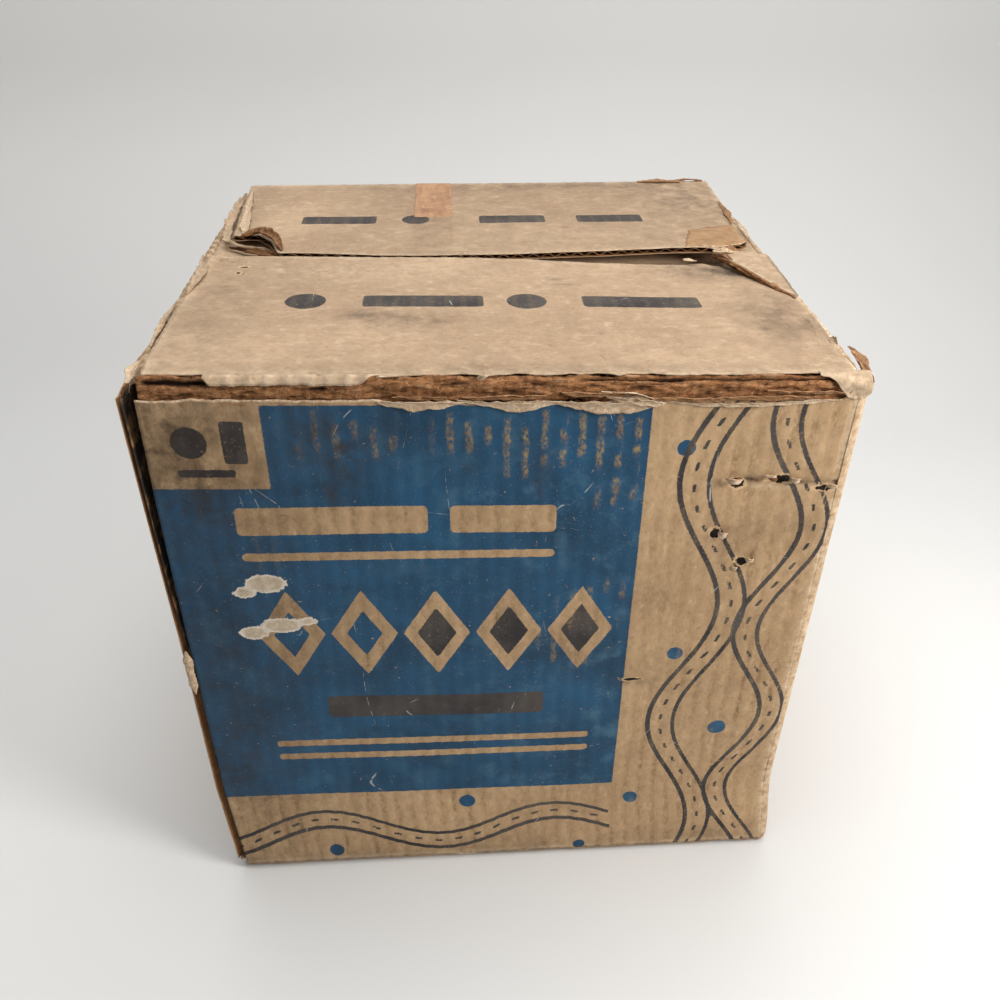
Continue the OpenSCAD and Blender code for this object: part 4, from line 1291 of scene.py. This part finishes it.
def makeTopShreds():
    # the left side of the top: slivers of liner peeled from the crease, ending in a hook at the seam
    values = {**unprinted, "wear": 0.5, "soil": 0.3}
    for k, (path, widths, materials, body) in enumerate([
            ([(-141, 120, 302.4), (-138.5, 96, 302.4), (-136, 70, 302.2), (-133, 44, 302.6), (-131, 30, 302.2)],
             (0.6, 2.8, 4.4, 5.0, 1.0), felt, "left_flap"),
            ([(-144.5, 118, 300.4), (-144, 86, 301.0), (-143, 52, 301.2), (-140, 26, 300.9), (-130, 16, 300.7),
              (-118, 14, 301.0)],
             (0.8, 3.4, 4.0, 4.0, 4.0, 1.0), frayedLiner, "left_flap"),
            ([(-145, 2, 300.0), (-142.4, -14, 302.2), (-142, -34, 302.4), (-143.4, -52, 301.2)],
             (1.0, 5.0, 4.6, 0.6), frayedLiner, "front_flap"),
            ([(-147, -60, 297.4), (-147.4, -84, 297.6), (-146, -108, 297.8)],
             (0.8, 2.6, 0.8), frayedLiner, "left_flap"),
            ([(-146.6, -122, 299.0), (-148, -130, 299.4), (-148.4, -137, 298)], (1.0, 4.6, 1.4), felt, "carton")]):
        shred("sliver" + "ABCDE"[k], path, right, widths, materials, body, 60 + k, 0.35, 0.9, values=values)
    # plies peeled back at the torn left corner of the back flap, each darkened with painted shade, the lowest most
    path = [(-134, 30, 301.6), (-130, 27, 303.0), (-124, 30, 304.2), (-117, 26, 304.2), (-111, 17, 302.8),
            (-108, 9, 301.0)]
    shred("cornerPlyA", path, (0.3, 1, 0.2), (1.0, 4.0, 5.0, 6.0, 6.5, 2.0), raw, "back_flap", 70, 0.8, 1.2,
          "flutes", 0.5, {"deep": 0.15, "pale": 0.1})
    shred("cornerPlyB", [(-133, 33, 301.8), (-124, 34.5, 303.6), (-115, 30, 304.0), (-110, 20, 302.6)],
          (0.3, 1, 0), (0.8, 2.4, 3.0, 0.8), felt, "back_flap", 71, 0.6, 1.0)
    shred("cornerPlyC", [(-138, 22, 298.6), (-128, 15, 299.0), (-116, 9, 299.2), (-104, 4, 298.8)],
          (0.2, 1, 0.3), (1.0, 4.0, 4.0, 0.8), raw, "back_flap", 72, 0.5, 1.0, "flutes", 0.5, {"deep": 0.5})
    # shreds at the right end of the seam, and down the carton's right side
    for k, (path, across, widths, body, torn) in enumerate([
            ([(112, 8, 303.4), (118, 5, 303.2), (124, 3, 301.6)], (0.2, 1, 0.4), (1.0, 3.6, 0.8), "back", False),
            ([(120, 12, 303.4), (126, 6, 303.2), (130, 2, 302.4)], (1, 0.4, 0.2), (1.4, 4.4, 1.0), "back", True),
            ([(116, -1, 303.8), (121, -3, 304.4), (127, -2, 303.6)], (0.2, 1, 0.3), (1.0, 4.0, 1.0), "front", False),
            ([(118, -2, 302.2), (121, -5, 303.0), (124, -11, 302.2)], (1, 0.3, 0.2), (1.0, 3.0, 0.6), "front", True),
            ([(100, -4, 300.2), (103, -6, 300.8), (107, -5, 300.0)], (0, 1, 0.2), (0.8, 2.4, 0.6), "front", False),
            ([(139, 48, 302.0), (141.5, 66, 302.6), (142, 88, 301.6)], right, (1.0, 4.6, 1.0), "back", True),
            ([(143.6, 20, 300.6), (144, 42, 301.0), (144.4, 60, 300.4)], right, (1.0, 3.0, 0.8), "right", False),
            ([(143.4, -92, 300.2), (143.8, -104, 300.5), (143.4, -116, 300.0)], right, (0.8, 3.0, 1.0), "front", True),
            ([(148.2, -112, 299.6), (149.6, -124, 299.2), (149.6, -134, 297.6)], right, (1.0, 5.2, 1.4), None, True),
            ([(147.2, -120, 300.4), (149.0, -129, 300.0), (149.6, -137, 298.0)], right, (1.0, 4.0, 1.6), "front", True),
            ([(124, 133.6, 301.7), (134, 134.2, 301.9), (142, 132.6, 301.4)], (0, 1, -0.4), (0.8, 3.6, 1.2),
             "back", True),
            ([(100, 132, 301.3), (113, 131.4, 301.6), (127, 130.6, 301.3)], (0, 1, 0), (2.0, 5.0, 2.6), "back", True)]):
        materials, slotName, values = (raw, "flutes", {"pale": 0.2}) if torn else (felt, "outer_liner", None)
        shred(f"seamShred{k}", path, across, widths, materials, body + "_flap" if body else "carton", 80 + k, 0.4, 0.9,
              slotName, 0.35, values)
    # the small white paper crumb by the seam
    shred("crumb", [(-16, -0.5, 301.6), (-14, -1.2, 302.6), (-12.4, 0.2, 302.4)], (0.3, 1, 0.4), (0.8, 2.2, 0.6), felt,
          "front_flap", 99, 0.8, 0.6)


makeFrontShreds()
makeTopShreds()
print("torn corner, tapes and shreds made")


# Floor, backdrop, world
def makeStage():
    reach, back, radius = 4.0, studio["backdropAt"], studio["sweep"]
    turn = np.linspace(0, np.pi / 2, 24)[1:]
    bent = back - radius + radius * np.sin(turn), radius - radius * np.cos(turn)
    along = np.concatenate([np.linspace(-reach, back - radius, 30), bent[0], np.full(12, back)])
    height = np.concatenate([np.zeros(30), bent[1], np.linspace(radius, 3.0, 13)[1:]])
    grid = np.broadcast_arrays(np.linspace(-reach, reach, 40)[None, :], along[:, None], height[:, None])
    points = np.stack(grid, -1).reshape(-1, 3)
    faces = quadsOf(np.arange(len(points)).reshape(grid[0].shape))
    sweep, mesh = makeObject("studioSweep", points, faces)
    mesh.polygons.foreach_set("use_smooth", np.ones(len(faces), bool))
    mesh.materials.append(startMaterial("studioPaper"))
    tone = studio["paper"]
    colour = mix(patches(0.3, 0.7, 3, 3), (tone, tone, tone * 0.99, 1), (tone * 0.98, tone * 0.985, tone * 0.98, 1))
    fill(current["surface"], {"Base Color": colour, "Roughness": 0.6, "Specular IOR Level": 0.25})
    world = bpy.context.scene.world = bpy.data.worlds.new("studio")
    world.use_nodes = True
    background = world.node_tree.nodes["Background"]
    background.inputs["Color"].default_value = (1.0, 1.0, 1.0, 1)
    background.inputs["Strength"].default_value = studio["world"]


makeStage()
makeLight("overhead")
makeLight("sideFill")
bpy.context.scene.view_settings.view_transform = "Standard"
print("stage made")

# CAD nodes that are shown as they are
shownAsBuilt = {
    "outer_liner": sideKraft, "printed_liner": frontKraft, "flutes": mediumKraft, "inner_liner": innerKraft,
    "pressed_board": sideKraft, "gummed_tape": gummedPaper, "old_tape": oldCellophane,
}
slotOf = {row["node"]: row["material_slot"] for row in frame["record"]["subparts"]}
for name, node in frame["nodes"].items():
    if not node.hide_render:
        for slot in node.material_slots:
            slot.material = shownAsBuilt[slotOf[name]]
print("bottom flaps, creases and tapes finished")
